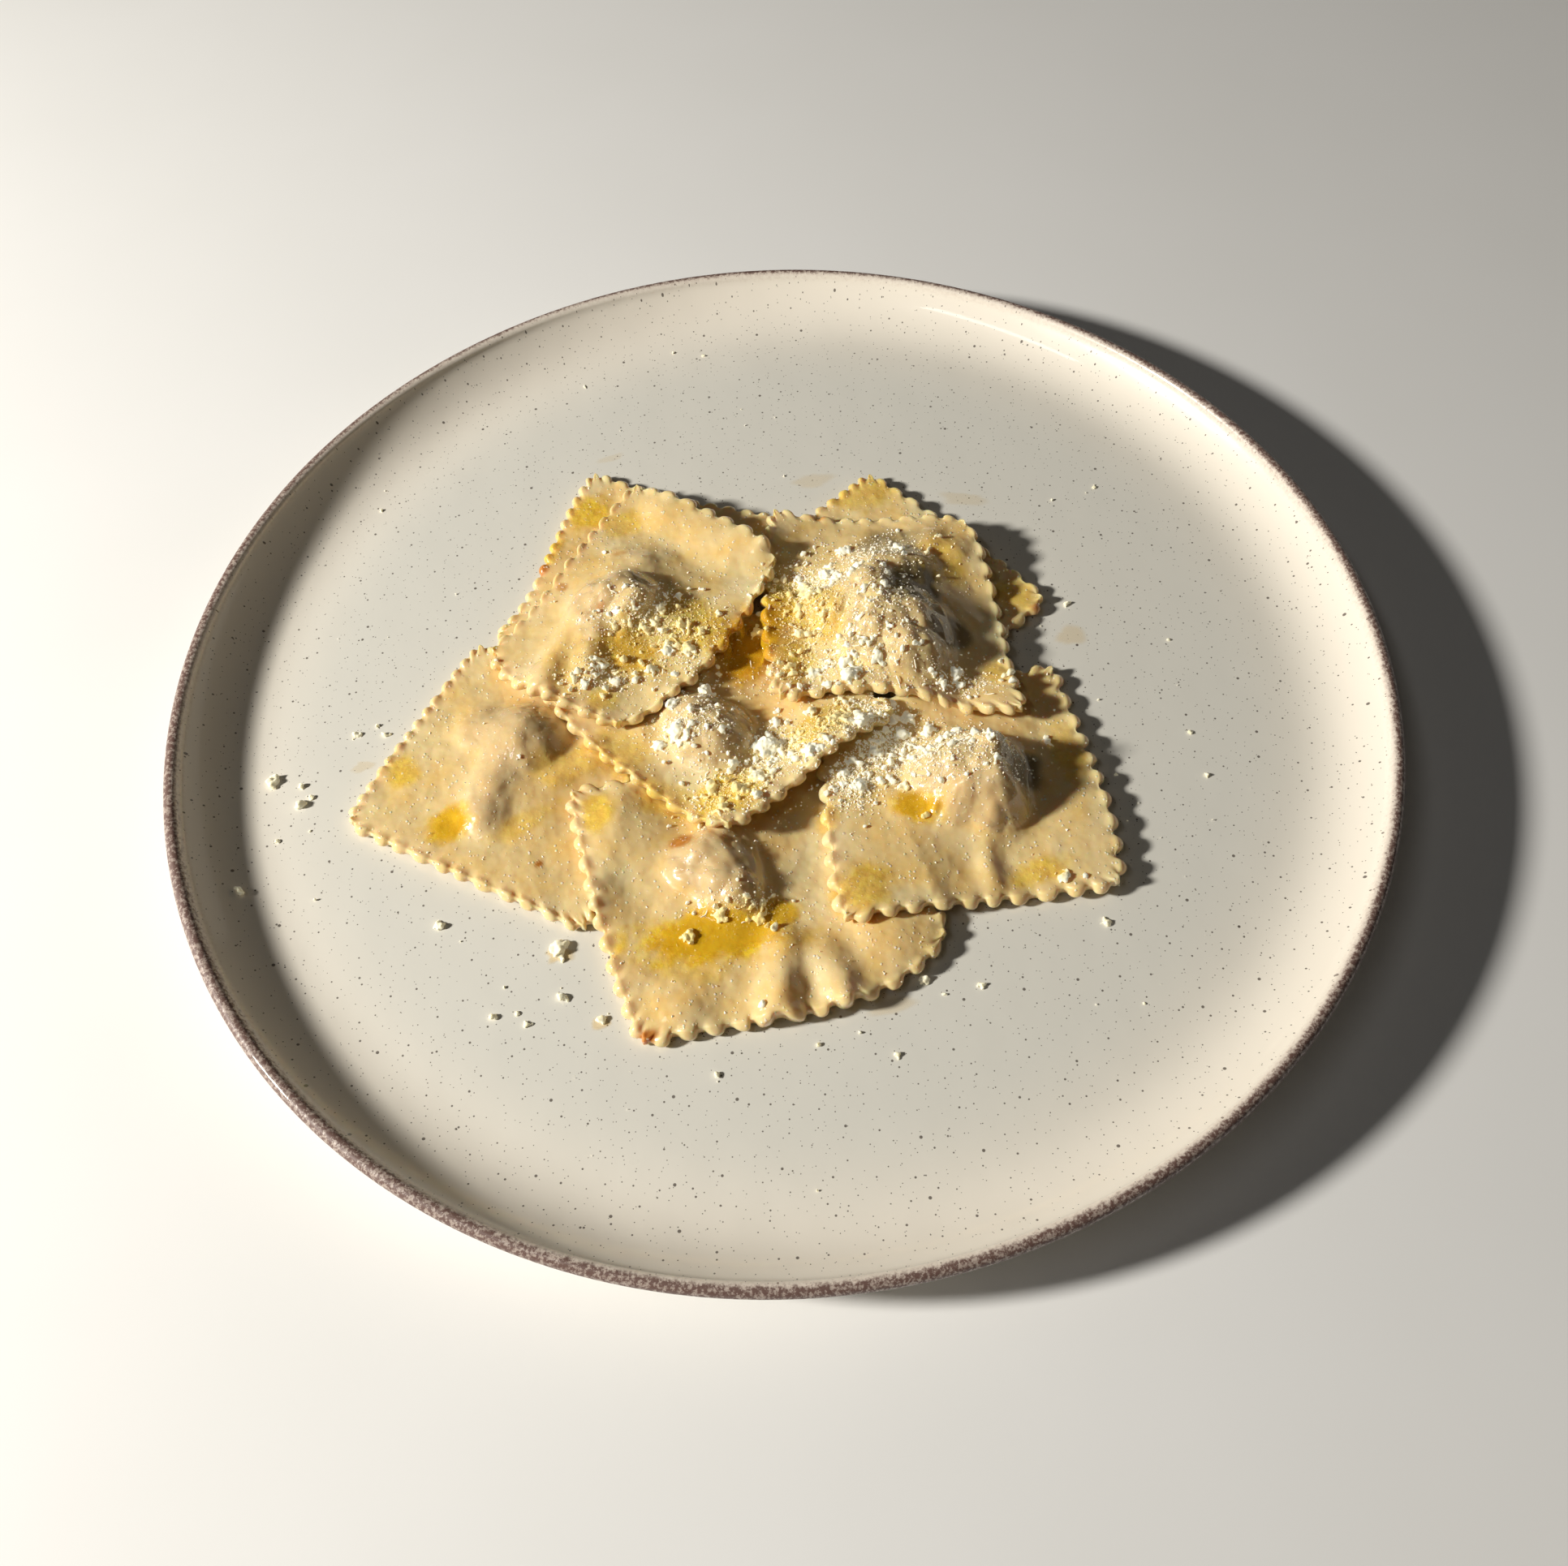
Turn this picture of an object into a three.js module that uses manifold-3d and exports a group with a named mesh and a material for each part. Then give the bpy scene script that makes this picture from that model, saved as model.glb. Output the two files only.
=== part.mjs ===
// A dinner plate with eight square ravioli heaped on it, dressed with grated cheese.
// Units are millimetres, +Z is up, and the origin is the centre of the plate's foot on the table.
// The plate is turned. Each raviolo is a soft filled sheet: it is draped over whatever lies
// below it, so the pieces are made one after another, from the bottom of the heap to the top.
import * as THREE from "three";
import { mergeVertices } from "three/addons/utils/BufferGeometryUtils.js";
import Module from "manifold-3d";

// ---------------------------------------------------------------- driving dimensions
const FLOOR_HEIGHT = 9; // top of the plate's flat floor
const FLOOR_RADIUS = 112.5; // where the wall starts to rise
const WALL_RADIUS = 135; // where the wall meets the lip
const WALL_HEIGHT = 18.5; // wall height there
const WALL_POWER = 3; // how late the wall turns up
const WALL_STEPS = 6;
const LIP_RADIUS = 1.6; // round lip
const LIP_CENTRE = new THREE.Vector2(135.9, 17.6);
const LIP_ARC = [173, -60]; // degrees, from the inside over the top to the outside
const LIP_STEPS = 4;
const FOOT_OUTER = 91.2;
const FOOT_INNER = 86.8;
const FOOT_ROUND = 0.6;
const FOOT_SLANT = 1; // how much narrower the recess is at its top
const UNDERSIDE_RISE = 3.6; // underside height just outside the foot
const UNDERSIDE_POWER = 3.2;
const UNDERSIDE_STEPS = 3;
const RECESS_HEIGHT = 3; // underside height inside the foot
const PLATE_SEGMENTS = 64;

const GAP = 0.4; // clear space between two pieces that touch
const SHEET = 2.3; // two layers of boiled pasta, pressed together
const EDGE = 1.9; // the same at the very edge
const TOOTH_DEPTH = 2.1; // depth of the cutter's zigzag
const TOOTH_OFFSETS = [0.2, 0.5, 0.8]; // points along one tooth: crown, notch, next crown
const TOOTH_INSETS = [0.1, 1, 0.1]; // how deep each lies, as a share of TOOTH_DEPTH

// ---------------------------------------------------------------- the ravioli, lowest first
// corners go clockwise from the far left one. bows push each side outwards, near its start and
// near its end. teeth are counted along each side. relief is what the filling lifts or the
// pasta folds: [x1, y1, x2, y2, half width, height, steepness] of a rounded ridge, or of a
// round lump where both ends are one point. lifts raise the whole sheet, top and bottom.
const lump = (x, y, width, height, power = 1.2) => [x, y, x, y, width, height, power];
const ridge = (x1, y1, x2, y2, width, height, power = 2) => [x1, y1, x2, y2, width, height, power];

const RAVIOLI = [
  {
    name: "raviolo_back_left",
    corners: [[-44, 73], [4, 52.5], [-17.5, 1], [-69, 19]],
    bows: [[-5.5, 0], [0, 0], [0, 0], [-7.5, 3.5]],
    teeth: [11, 11, 11, 15],
    relief: [lump(-33, 27, 15, 5)],
    lifts: [],
  },
  {
    name: "raviolo_left",
    corners: [[-98.5, -29.5], [-70, 19.5], [-30, -10.5], [-42, -61]],
    bows: [[0.5, 1.5], [0, 0], [0, 0], [0, 1]],
    teeth: [15, 11, 11, 12],
    relief: [
      lump(-58, -11.5, 11, 6.8, 0.9),
      lump(-67, -8, 9, 3.2, 1.2),
      ridge(-63, -19, -65.5, -30, 7.5, 3.8, 1.4),
      lump(-60, -16, 22, 2.2, 1.6),
      ridge(-50, -21.5, -42, -17.5, 6, 2.2),
    ],
    lifts: [],
  },
  {
    name: "raviolo_back_right",
    corners: [[26, 67], [66.5, 21.5], [29.5, -9], [-9, 34.5]],
    bows: [[0, 2.5], [0.5, 0], [0, 0], [3, -0.5]],
    teeth: [11, 9, 11, 13],
    relief: [lump(28, 26, 15, 5)],
    lifts: [],
  },
  {
    name: "raviolo_front",
    corners: [[-49, -25.5], [18, -14], [33.5, -64.5], [-32, -87]],
    bows: [[-1.5, 0], [0, 0], [17, 0], [3, 1]],
    teeth: [12, 11, 13, 13],
    relief: [
      ridge(-14.5, -44, -13, -51, 8.5, 6.2, 0.9),
      lump(-20, -46, 8, 5, 1.1),
      lump(-9.5, -55.5, 5, 3.4),
      lump(-15.5, -46, 20, 2.4, 1.6),
      ridge(-1.5, -66, -3.5, -82, 7, 2.4),
      ridge(6.5, -68, 11, -79, 6.5, 2.2),
      lump(20, -64, 11, 1.8, 1.8),
      lump(-23, -77, 9, 1.8, 1.8),
    ],
    lifts: [
      lump(-33, -37, 12, 2, 1.5),
      ridge(27, -65, 13, -79, 16, 0.9, 1.5),
      ridge(-3, -76, -4, -86, 7, 1.4),
      ridge(9, -74, 11, -84, 6, 1.6),
    ],
  },
  {
    name: "raviolo_right",
    corners: [[5.5, -9], [65, 4], [70.5, -57.5], [9.5, -64]],
    bows: [[0, 0], [0, 5.5], [-1.5, -2], [3, -2.5]],
    teeth: [11, 11, 11, 10],
    relief: [
      lump(41, -28.5, 11.5, 10.6, 0.5),
      lump(33, -27.5, 7, 7.4, 0.9),
      lump(36.5, -35.5, 6, 6.8, 0.9),
      lump(45, -35.5, 7.5, 10.2, 0.6),
      lump(45.5, -25.5, 6.5, 10.4, 0.6),
      lump(39.5, -29, 21, 4, 1.6),
      ridge(41.5, -40, 42.5, -54, 3.2, 2, 1.6),
    ],
    lifts: [ridge(69, -54.5, 67.5, -31.5, 20, 1.4, 1.5)],
  },
  {
    name: "raviolo_middle",
    corners: [[-56.5, 2.5], [-13, 31], [28, -12], [-12, -43]],
    bows: [[0, 0], [0, 0], [-2, 0], [4, 5.5]],
    teeth: [12, 12, 10, 12],
    relief: [
      lump(-16, -14, 10.5, 6.8, 0.8),
      lump(-20, -8.5, 8, 5, 1),
      lump(-14, -19.5, 6, 4, 1),
      lump(-17, -13.5, 18, 2.2, 1.6),
    ],
    lifts: [ridge(-4, -36, 14, -24, 13, 3.4, 1.5)],
  },
  {
    name: "raviolo_top_right",
    corners: [[0, 54], [48, 43.5], [56, -15.5], [-1.5, -10]],
    bows: [[-5.5, 3.5], [5.5, -1], [-1.5, -8.5], [4, 2.5]],
    teeth: [10, 11, 12, 12],
    relief: [
      lump(28, 8, 12.5, 8.8, 0.5),
      lump(31.5, 1, 6.5, 6.4, 0.7),
      lump(20.5, 6, 7.5, 6.6, 0.9),
      lump(21, 18, 9, 7.4, 0.8),
      lump(12, 18, 8, 4.4, 1),
      lump(26, 13, 25, 5, 1.6),
      lump(38, 36, 6, 2, 1.8),
      lump(44, 33, 5, 1.8, 1.8),
    ],
    lifts: [
      lump(47.5, 40, 20, 3.2, 1.5),
      lump(31, -13.5, 12, 2.2, 1.5),
      lump(53, -13, 13, 3, 1.5),
      ridge(0, 20, -1, -6, 9, 2.6, 1.5),
    ],
  },
  {
    name: "raviolo_top_left",
    corners: [[-32.5, 65], [3, 33], [-37, -13.5], [-68.5, 14]],
    bows: [[-0.5, 4.5], [4.5, 10], [1.5, 9], [-6, 3]],
    teeth: [8, 11, 9, 12],
    relief: [
      lump(-34.5, 22, 7.5, 5.2, 0.5),
      lump(-42, 20.5, 8, 4.6, 1),
      lump(-36, 13, 5, 2.4, 1.2),
      ridge(-42, 13, -43.5, 2, 5.5, 2.8, 1.3),
      ridge(-47, 17, -53, 1, 5.5, 2.8, 1.6),
      lump(-38, 14, 20, 1.2, 1.6),
    ],
    lifts: [ridge(-8, 42, -20, 53, 13, 4.2, 1.5), lump(-13, 11, 17, 0.8, 1.5)],
  },
];

// ---------------------------------------------------------------- the grated cheese
// Where clumps lie: the raviolo, the middle of the patch, its half widths, how many, their size.
const CHEESE = [
  { on: "raviolo_top_right", x: 15, y: -1, spread: [15, 5], count: 7, size: 2.3 },
  { on: "raviolo_top_right", x: 10, y: 26, spread: [8, 7], count: 5, size: 2 },
  { on: "raviolo_top_right", x: 8, y: 12, spread: [6, 7], count: 3, size: 2.1 },
  { on: "raviolo_top_right", x: 42, y: -3, spread: [6, 4], count: 3, size: 2.2 },
  { on: "raviolo_top_left", x: -23, y: 12, spread: [9, 9], count: 7, size: 2 },
  { on: "raviolo_top_left", x: -39, y: 2, spread: [6, 4], count: 3, size: 2.1 },
  { on: "raviolo_middle", x: 2, y: -20, spread: [6, 4], count: 4, size: 2.4 },
  { on: "raviolo_middle", x: -23, y: -15.5, spread: [1, 1], count: 1, size: 3 },
  { on: "raviolo_middle", x: -12, y: -31, spread: [5, 4], count: 3, size: 1.9 },
  { on: "raviolo_middle", x: 14, y: -15, spread: [7, 3], count: 2, size: 1.9 },
  { on: "raviolo_right", x: 23, y: -19, spread: [7, 6], count: 6, size: 2.2 },
  { on: "raviolo_right", x: 15, y: -29, spread: [4, 4], count: 2, size: 1.8 },
  { on: "raviolo_right", x: 58, y: -21, spread: [1, 1], count: 1, size: 1.6 },
  { on: "raviolo_front", x: -15, y: -58.5, spread: [2, 1], count: 1, size: 2 },
];
const CHEESE_FLATNESS = 0.75; // height of a clump, as a share of its width
const CHEESE_SUNK = 0.3; // how far its middle lies above the pasta, as a share of its size
const CHEESE_ROUGHNESS = 0.25; // how far a corner may stray, as a share of its size
const CHEESE_MERGE = 0.01; // corners closer than this share of its size are one
const CHEESE_MARGIN = 1.5; // clear space between a clump and a rim above it
const CHEESE_SIZES = [0.7, 1.3]; // smallest and largest clump, as shares of the patch's size
const CHEESE_DIRECTIONS = 12; // directions in which the clear space is tried
const SEED = 20;
const SEED_FACTOR = 1664525; // of a linear congruential series
const SEED_STEP = 1013904223;
const SEED_RANGE = 2 ** 32;

// ---------------------------------------------------------------- mesh detail
// each ring: its depth towards the middle, as a share, and its points along a side
const TOP_RINGS = [[0.1, 12], [0.25, 12], [0.4, 12], [0.55, 9], [0.7, 6], [0.85, 3]];
const BOTTOM_RINGS = [[0.14, 12], [0.36, 8], [0.62, 4]];
const OUTLINE_SAMPLES = 16; // points along a side that bound the mask
const RIM_SAMPLES = 4; // points along each edge of the rim that hold up what lies above
const LIFT_ROUNDS = 4; // how often the bottom triangles are raised clear of what is below
const SLIVER = 1e-9; // area in plan below which a triangle covers no grid point

// ---------------------------------------------------------------- colours and gloss
const POTTERY = new THREE.Color(0xd9d2c4);
const PASTA = new THREE.Color(0xe3c27a);
const POTTERY_ROUGHNESS = 0.35;
const PASTA_ROUGHNESS = 0.4;

// ---------------------------------------------------------------- plate
function plateTop(radius) {
  const climb = Math.max(0, (radius - FLOOR_RADIUS) / (WALL_RADIUS - FLOOR_RADIUS));
  return FLOOR_HEIGHT + (WALL_HEIGHT - FLOOR_HEIGHT) * climb ** WALL_POWER;
}

function lipPoint(degrees) {
  const angle = THREE.MathUtils.degToRad(degrees);
  return new THREE.Vector2(LIP_RADIUS * Math.cos(angle), LIP_RADIUS * Math.sin(angle)).add(LIP_CENTRE);
}

function makePlate() {
  const lipStart = lipPoint(LIP_ARC[0]);
  const lipEnd = lipPoint(LIP_ARC[1]);
  const profile = [new THREE.Vector2(0, FLOOR_HEIGHT)];
  for (let i = 0; i < WALL_STEPS; i++) {
    const radius = THREE.MathUtils.lerp(FLOOR_RADIUS, lipStart.x, i / WALL_STEPS);
    profile.push(new THREE.Vector2(radius, plateTop(radius)));
  }
  for (let i = 0; i <= LIP_STEPS; i++)
    profile.push(lipPoint(THREE.MathUtils.lerp(LIP_ARC[0], LIP_ARC[1], i / LIP_STEPS)));
  for (let i = 1; i <= UNDERSIDE_STEPS; i++) {
    const inwards = 1 - i / UNDERSIDE_STEPS;
    const radius = THREE.MathUtils.lerp(FOOT_OUTER, lipEnd.x, inwards);
    const height = THREE.MathUtils.lerp(UNDERSIDE_RISE, lipEnd.y, inwards ** UNDERSIDE_POWER);
    profile.push(new THREE.Vector2(radius, height));
  }
  profile.push(
    new THREE.Vector2(FOOT_OUTER, FOOT_ROUND),
    new THREE.Vector2(FOOT_OUTER - FOOT_ROUND, 0),
    new THREE.Vector2(FOOT_INNER + FOOT_ROUND, 0),
    new THREE.Vector2(FOOT_INNER, FOOT_ROUND),
    new THREE.Vector2(FOOT_INNER - FOOT_SLANT, RECESS_HEIGHT),
    new THREE.Vector2(0, RECESS_HEIGHT),
  );
  const geometry = new THREE.LatheGeometry(profile.reverse(), PLATE_SEGMENTS);
  geometry.rotateX(Math.PI / 2); // the lathe turns about Y, the plate about Z
  return geometry;
}

// ---------------------------------------------------------------- height fields on a square grid
const GRID = { x: -120, y: -100, columns: 216, rows: 201 };

class Field {
  constructor(heightAt) {
    this.z = new Float64Array(GRID.columns * GRID.rows);
    if (heightAt)
      this.each((i, x, y) => {
        this.z[i] = heightAt(x, y);
      });
  }

  each(visit) {
    for (let row = 0; row < GRID.rows; row++)
      for (let column = 0; column < GRID.columns; column++)
        visit(row * GRID.columns + column, GRID.x + column, GRID.y + row);
  }

  at(x, y) {
    const column = THREE.MathUtils.clamp(Math.floor(x - GRID.x), 0, GRID.columns - 2);
    const row = THREE.MathUtils.clamp(Math.floor(y - GRID.y), 0, GRID.rows - 2);
    const [s, t, i] = [x - GRID.x - column, y - GRID.y - row, row * GRID.columns + column];
    const near = this.z[i] * (1 - s) + this.z[i + 1] * s;
    const far = this.z[i + GRID.columns] * (1 - s) + this.z[i + GRID.columns + 1] * s;
    return near * (1 - t) + far * t;
  }

  // visits the grid points under a triangle, with the triangle's height there
  static under(a, b, c, visit) {
    const area = (b.x - a.x) * (c.y - a.y) - (c.x - a.x) * (b.y - a.y);
    if (Math.abs(area) < SLIVER) return;
    for (let y = Math.ceil(Math.min(a.y, b.y, c.y)); y <= Math.max(a.y, b.y, c.y); y++)
      for (let x = Math.ceil(Math.min(a.x, b.x, c.x)); x <= Math.max(a.x, b.x, c.x); x++) {
        const s = ((x - a.x) * (c.y - a.y) - (c.x - a.x) * (y - a.y)) / area;
        const t = ((b.x - a.x) * (y - a.y) - (x - a.x) * (b.y - a.y)) / area;
        if (s < 0 || t < 0 || s + t > 1) continue;
        const height = a.z * (1 - s - t) + b.z * s + c.z * t;
        visit((y - GRID.y) * GRID.columns + (x - GRID.x), height);
      }
  }
}

// ---------------------------------------------------------------- draping
const DRAPE_PASSES = [[4, 80], [2, 140], [1, 240]]; // step in grid cells, and how often
const PULL = 0.65; // how far a point moves towards its neighbours' mean in one pass
const SAG = 0.004; // how far its weight pulls it down in one pass
const SPREAD_CELLS = 4; // how far a height is carried past the mask's edge

// A taut, slightly heavy skin over the support: each point moves towards the mean of its four
// neighbours inside the mask, but never through what is below it.
function drape(support, inside) {
  let z = Float64Array.from(support.z);
  const cells = [...inside.keys()].filter((i) => inside[i]);
  for (const [step, repeats] of DRAPE_PASSES) {
    const neighbours = [step, -step, step * GRID.columns, -step * GRID.columns];
    for (let n = 0; n < repeats; n++) {
      const next = Float64Array.from(z);
      for (const i of cells) {
        let sum = 0;
        let count = 0;
        for (const d of neighbours)
          if (inside[i + d]) {
            sum += z[i + d];
            count++;
          }
        const pulled = (1 - PULL) * z[i] + (PULL * sum) / Math.max(count, 1) - SAG * step * step;
        next[i] = Math.max(support.z[i], count ? pulled : z[i]);
      }
      z = next;
    }
  }
  return z;
}

// 1-2-1 smoothing over the cells for which use() holds
function smooth(z, use) {
  const out = Float64Array.from(z);
  const kernel = [[0, 4]];
  for (const d of [1, GRID.columns]) kernel.push([d, 2], [-d, 2]);
  for (const d of [GRID.columns + 1, GRID.columns - 1]) kernel.push([d, 1], [-d, 1]);
  for (let i = GRID.columns + 1; i < z.length - GRID.columns - 1; i++) {
    if (!use(i)) continue;
    let sum = 0;
    let weight = 0;
    for (const [d, w] of kernel)
      if (use(i + d)) {
        sum += w * z[i + d];
        weight += w;
      }
    out[i] = sum / weight;
  }
  return out;
}

// gives the cells just outside the mask the mean height of the known cells beside them
function spread(z, inside) {
  const known = Uint8Array.from(inside);
  for (let n = 0; n < SPREAD_CELLS; n++) {
    const found = [];
    for (let i = GRID.columns + 1; i < z.length - GRID.columns - 1; i++) {
      if (known[i]) continue;
      const beside = [i + 1, i - 1, i + GRID.columns, i - GRID.columns].filter((j) => known[j]);
      if (beside.length) found.push([i, beside.reduce((sum, j) => sum + z[j], 0) / beside.length]);
    }
    for (const [i, height] of found) {
      z[i] = height;
      known[i] = 1;
    }
  }
}

// ---------------------------------------------------------------- one raviolo's plan and relief
function reliefAt(x, y, features) {
  let cubes = 0;
  for (const [x1, y1, x2, y2, width, height, power] of features) {
    const [dx, dy] = [x2 - x1, y2 - y1];
    const length2 = dx * dx + dy * dy;
    const t = length2 ? THREE.MathUtils.clamp(((x - x1) * dx + (y - y1) * dy) / length2, 0, 1) : 0;
    const away = Math.hypot(x - x1 - t * dx, y - y1 - t * dy) / width;
    cubes += (height * Math.max(0, 1 - away * away) ** power) ** 3;
  }
  return Math.cbrt(cubes);
}

const outwards = (from, to) => new THREE.Vector2(from.y - to.y, to.x - from.x).normalize();
const bowed = (t, [start, end]) => 3 * t * (1 - t) ** 2 * start + 3 * t * t * (1 - t) * end;

class Footprint {
  constructor({ corners, bows }) {
    this.corners = corners.map(([x, y]) => new THREE.Vector2(x, y));
    this.bows = bows;
    const [a, b, c, d] = this.corners;
    this.width = (a.distanceTo(b) + d.distanceTo(c)) / 2;
    this.depth = (a.distanceTo(d) + b.distanceTo(c)) / 2;
  }

  // u runs from the first corner to the second, v from the first to the last
  point(u, v) {
    const [a, b, c, d] = this.corners;
    const p = new THREE.Vector2()
      .addScaledVector(a, (1 - u) * (1 - v))
      .addScaledVector(b, u * (1 - v))
      .addScaledVector(c, u * v)
      .addScaledVector(d, (1 - u) * v);
    return p
      .addScaledVector(outwards(a, b), bowed(u, this.bows[0]) * (1 - v))
      .addScaledVector(outwards(b, c), bowed(v, this.bows[1]) * u)
      .addScaledVector(outwards(c, d), bowed(1 - u, this.bows[2]) * v)
      .addScaledVector(outwards(d, a), bowed(1 - v, this.bows[3]) * (1 - u));
  }

  // a point on side 0 to 3, a share t along it, moved inwards by inset millimetres and then
  // towards the middle by a share depth
  onSide(side, t, inset = 0, depth = 0) {
    const [x, y] = [inset / this.width, inset / this.depth];
    const [u, v] = [[t, y], [1 - x, t], [1 - t, 1 - y], [x, 1 - t]][side];
    return this.point(0.5 + (u - 0.5) * (1 - depth), 0.5 + (v - 0.5) * (1 - depth));
  }

  mask() {
    const edge = [];
    for (let side = 0; side < 4; side++)
      for (let i = 0; i < OUTLINE_SAMPLES; i++) edge.push(this.onSide(side, i / OUTLINE_SAMPLES));
    const inside = new Uint8Array(GRID.columns * GRID.rows);
    new Field().each((i, x, y) => {
      let crossings = 0;
      edge.forEach((p, k) => {
        const q = edge[(k + 1) % edge.length];
        if (p.y > y !== q.y > y && x < p.x + ((y - p.y) * (q.x - p.x)) / (q.y - p.y)) crossings++;
      });
      inside[i] = crossings % 2;
    });
    return inside;
  }

  // the zigzag outline: three points a tooth
  outline(teeth) {
    const loop = [];
    teeth.forEach((count, side) => {
      for (let tooth = 0; tooth < count; tooth++)
        TOOTH_OFFSETS.forEach((offset, k) => {
          const t = (tooth + offset) / count;
          loop.push({ key: side + t, plan: this.onSide(side, t, TOOTH_DEPTH * TOOTH_INSETS[k]) });
        });
    });
    return loop;
  }

  ring(depth, perSide) {
    const loop = [];
    for (let side = 0; side < 4; side++)
      for (let i = 0; i < perSide; i++)
        loop.push({ key: side + i / perSide, plan: this.onSide(side, i / perSide, 0, depth) });
    return loop;
  }
}

// ---------------------------------------------------------------- meshes made of nested loops
// Joins an outer loop to an inner one with triangles that face up or down. Each loop is a list
// of vertex numbers with their keys, which run from 0 to 4 round the outline.
function stitch(triangles, outer, inner, up) {
  const add = (a, b, c) => triangles.push(...(up ? [b, a, c] : [a, b, c]));
  let [i, j] = [0, 0];
  const [m, n] = [outer.length, inner.length];
  const key = (loop, k) => loop[k % loop.length].key + (k >= loop.length ? 4 : 0);
  while (i < m || j < n) {
    const stepOuter = j >= n || (i < m && key(outer, i + 1) <= key(inner, j + 1));
    if (stepOuter) {
      add(outer[i].id, outer[(i + 1) % m].id, inner[j % n].id);
      i++;
    } else {
      add(outer[i % m].id, inner[(j + 1) % n].id, inner[j].id);
      j++;
    }
  }
}

function fan(triangles, loop, centre, up) {
  loop.forEach(({ id }, k) => {
    const next = loop[(k + 1) % loop.length].id;
    triangles.push(...(up ? [next, id, centre] : [id, next, centre]));
  });
}

function makeRaviolo(spec, surface) {
  const footprint = new Footprint(spec);
  const inside = footprint.mask();
  const has = (i) => inside[i] === 1;

  const support = new Field();
  const eased = smooth(surface.z, () => true);
  support.z = surface.z.map((height, i) => Math.max(height, eased[i]) + GAP);
  const under = new Field();
  under.z = drape(support, inside);
  under.each((i, x, y) => {
    under.z[i] += reliefAt(x, y, spec.lifts);
  });
  under.z = smooth(under.z, has).map((height, i) => Math.max(height, support.z[i]));
  spread(under.z, inside);

  const vertices = [];
  const place = (loop, heightAt) =>
    loop.map(({ key, plan }) => {
      vertices.push(new THREE.Vector3(plan.x, plan.y, heightAt(plan.x, plan.y)));
      return { key, id: vertices.length - 1 };
    });
  const bottoms = [];
  const tops = [];
  const middle = { key: 0, plan: footprint.point(0.5, 0.5) };

  // the bottom first, lifted wherever a flat triangle would cut what is below
  const bottomHeight = (x, y) => under.at(x, y);
  const lowerEdge = place(footprint.outline(spec.teeth), bottomHeight);
  const rings = (sizes, heightAt) => sizes.map((size) => place(footprint.ring(...size), heightAt));
  const lower = [lowerEdge, ...rings(BOTTOM_RINGS, bottomHeight)];
  const [lowerMiddle] = place([middle], bottomHeight);
  lower.slice(1).forEach((loop, k) => stitch(bottoms, lower[k], loop, false));
  fan(bottoms, lower.at(-1), lowerMiddle.id, false);
  for (let n = 0; n < LIFT_ROUNDS; n++)
    for (let k = 0; k < bottoms.length; k += 3) {
      const corners = [0, 1, 2].map((d) => vertices[bottoms[k + d]]);
      let short = 0;
      Field.under(...corners, (i, height) => {
        short = Math.max(short, surface.z[i] + GAP - height);
      });
      for (const corner of corners) corner.z += short;
    }
  const lifted = Float64Array.from(under.z);
  for (let k = 0; k < bottoms.length; k += 3)
    Field.under(...[0, 1, 2].map((d) => vertices[bottoms[k + d]]), (i, height) => {
      lifted[i] = Math.max(lifted[i], height);
    });
  under.z = lifted;

  const topHeight = (x, y) => under.at(x, y) + SHEET + reliefAt(x, y, spec.relief);
  const upperEdge = lowerEdge.map(({ key, id }) => {
    vertices.push(vertices[id].clone().setZ(vertices[id].z + EDGE));
    return { key, id: vertices.length - 1 };
  });
  const upper = [upperEdge, ...rings(TOP_RINGS, topHeight)];
  const [upperMiddle] = place([middle], topHeight);
  upper.slice(1).forEach((loop, k) => stitch(tops, upper[k], loop, true));
  fan(tops, upper.at(-1), upperMiddle.id, true);

  const sides = [];
  upperEdge.forEach(({ id }, k) => {
    const next = (k + 1) % upperEdge.length;
    sides.push(id, upperEdge[next].id, lowerEdge[k].id);
    sides.push(upperEdge[next].id, lowerEdge[next].id, lowerEdge[k].id);
  });

  // what lies on top of this raviolo meets its upper face, out to the rim
  for (let k = 0; k < tops.length; k += 3)
    Field.under(...[0, 1, 2].map((d) => vertices[tops[k + d]]), (i, height) => {
      surface.z[i] = Math.max(surface.z[i], height);
    });
  upperEdge.forEach(({ id }, k) => {
    const next = vertices[upperEdge[(k + 1) % upperEdge.length].id];
    for (let sample = 0; sample < RIM_SAMPLES; sample++) {
      const p = vertices[id].clone().lerp(next, sample / RIM_SAMPLES);
      const corner = (Math.floor(p.y) - GRID.y) * GRID.columns + Math.floor(p.x) - GRID.x;
      for (const i of [corner, corner + 1, corner + GRID.columns, corner + GRID.columns + 1])
        surface.z[i] = Math.max(surface.z[i], p.z);
    }
  });

  const geometry = new THREE.BufferGeometry().setFromPoints(vertices);
  geometry.setIndex([...tops, ...bottoms, ...sides]);
  return geometry;
}

// ---------------------------------------------------------------- grated cheese
function randomNumbers(seed) {
  let state = seed;
  return () => {
    state = (state * SEED_FACTOR + SEED_STEP) % SEED_RANGE;
    return state / SEED_RANGE;
  };
}

// a flattened, crooked twenty-sided lump
function makeClump(size, random) {
  const clump = new THREE.IcosahedronGeometry(size, 0);
  clump.deleteAttribute("normal");
  clump.deleteAttribute("uv");
  const merged = mergeVertices(clump, size * CHEESE_MERGE);
  const corners = merged.getAttribute("position");
  for (let i = 0; i < corners.count; i++) {
    const reach = 1 + CHEESE_ROUGHNESS * (2 * random() - 1);
    const flat = reach * CHEESE_FLATNESS;
    corners.setXYZ(i, corners.getX(i) * reach, corners.getY(i) * reach, corners.getZ(i) * flat);
  }
  return merged.rotateZ(random() * Math.PI);
}

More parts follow.
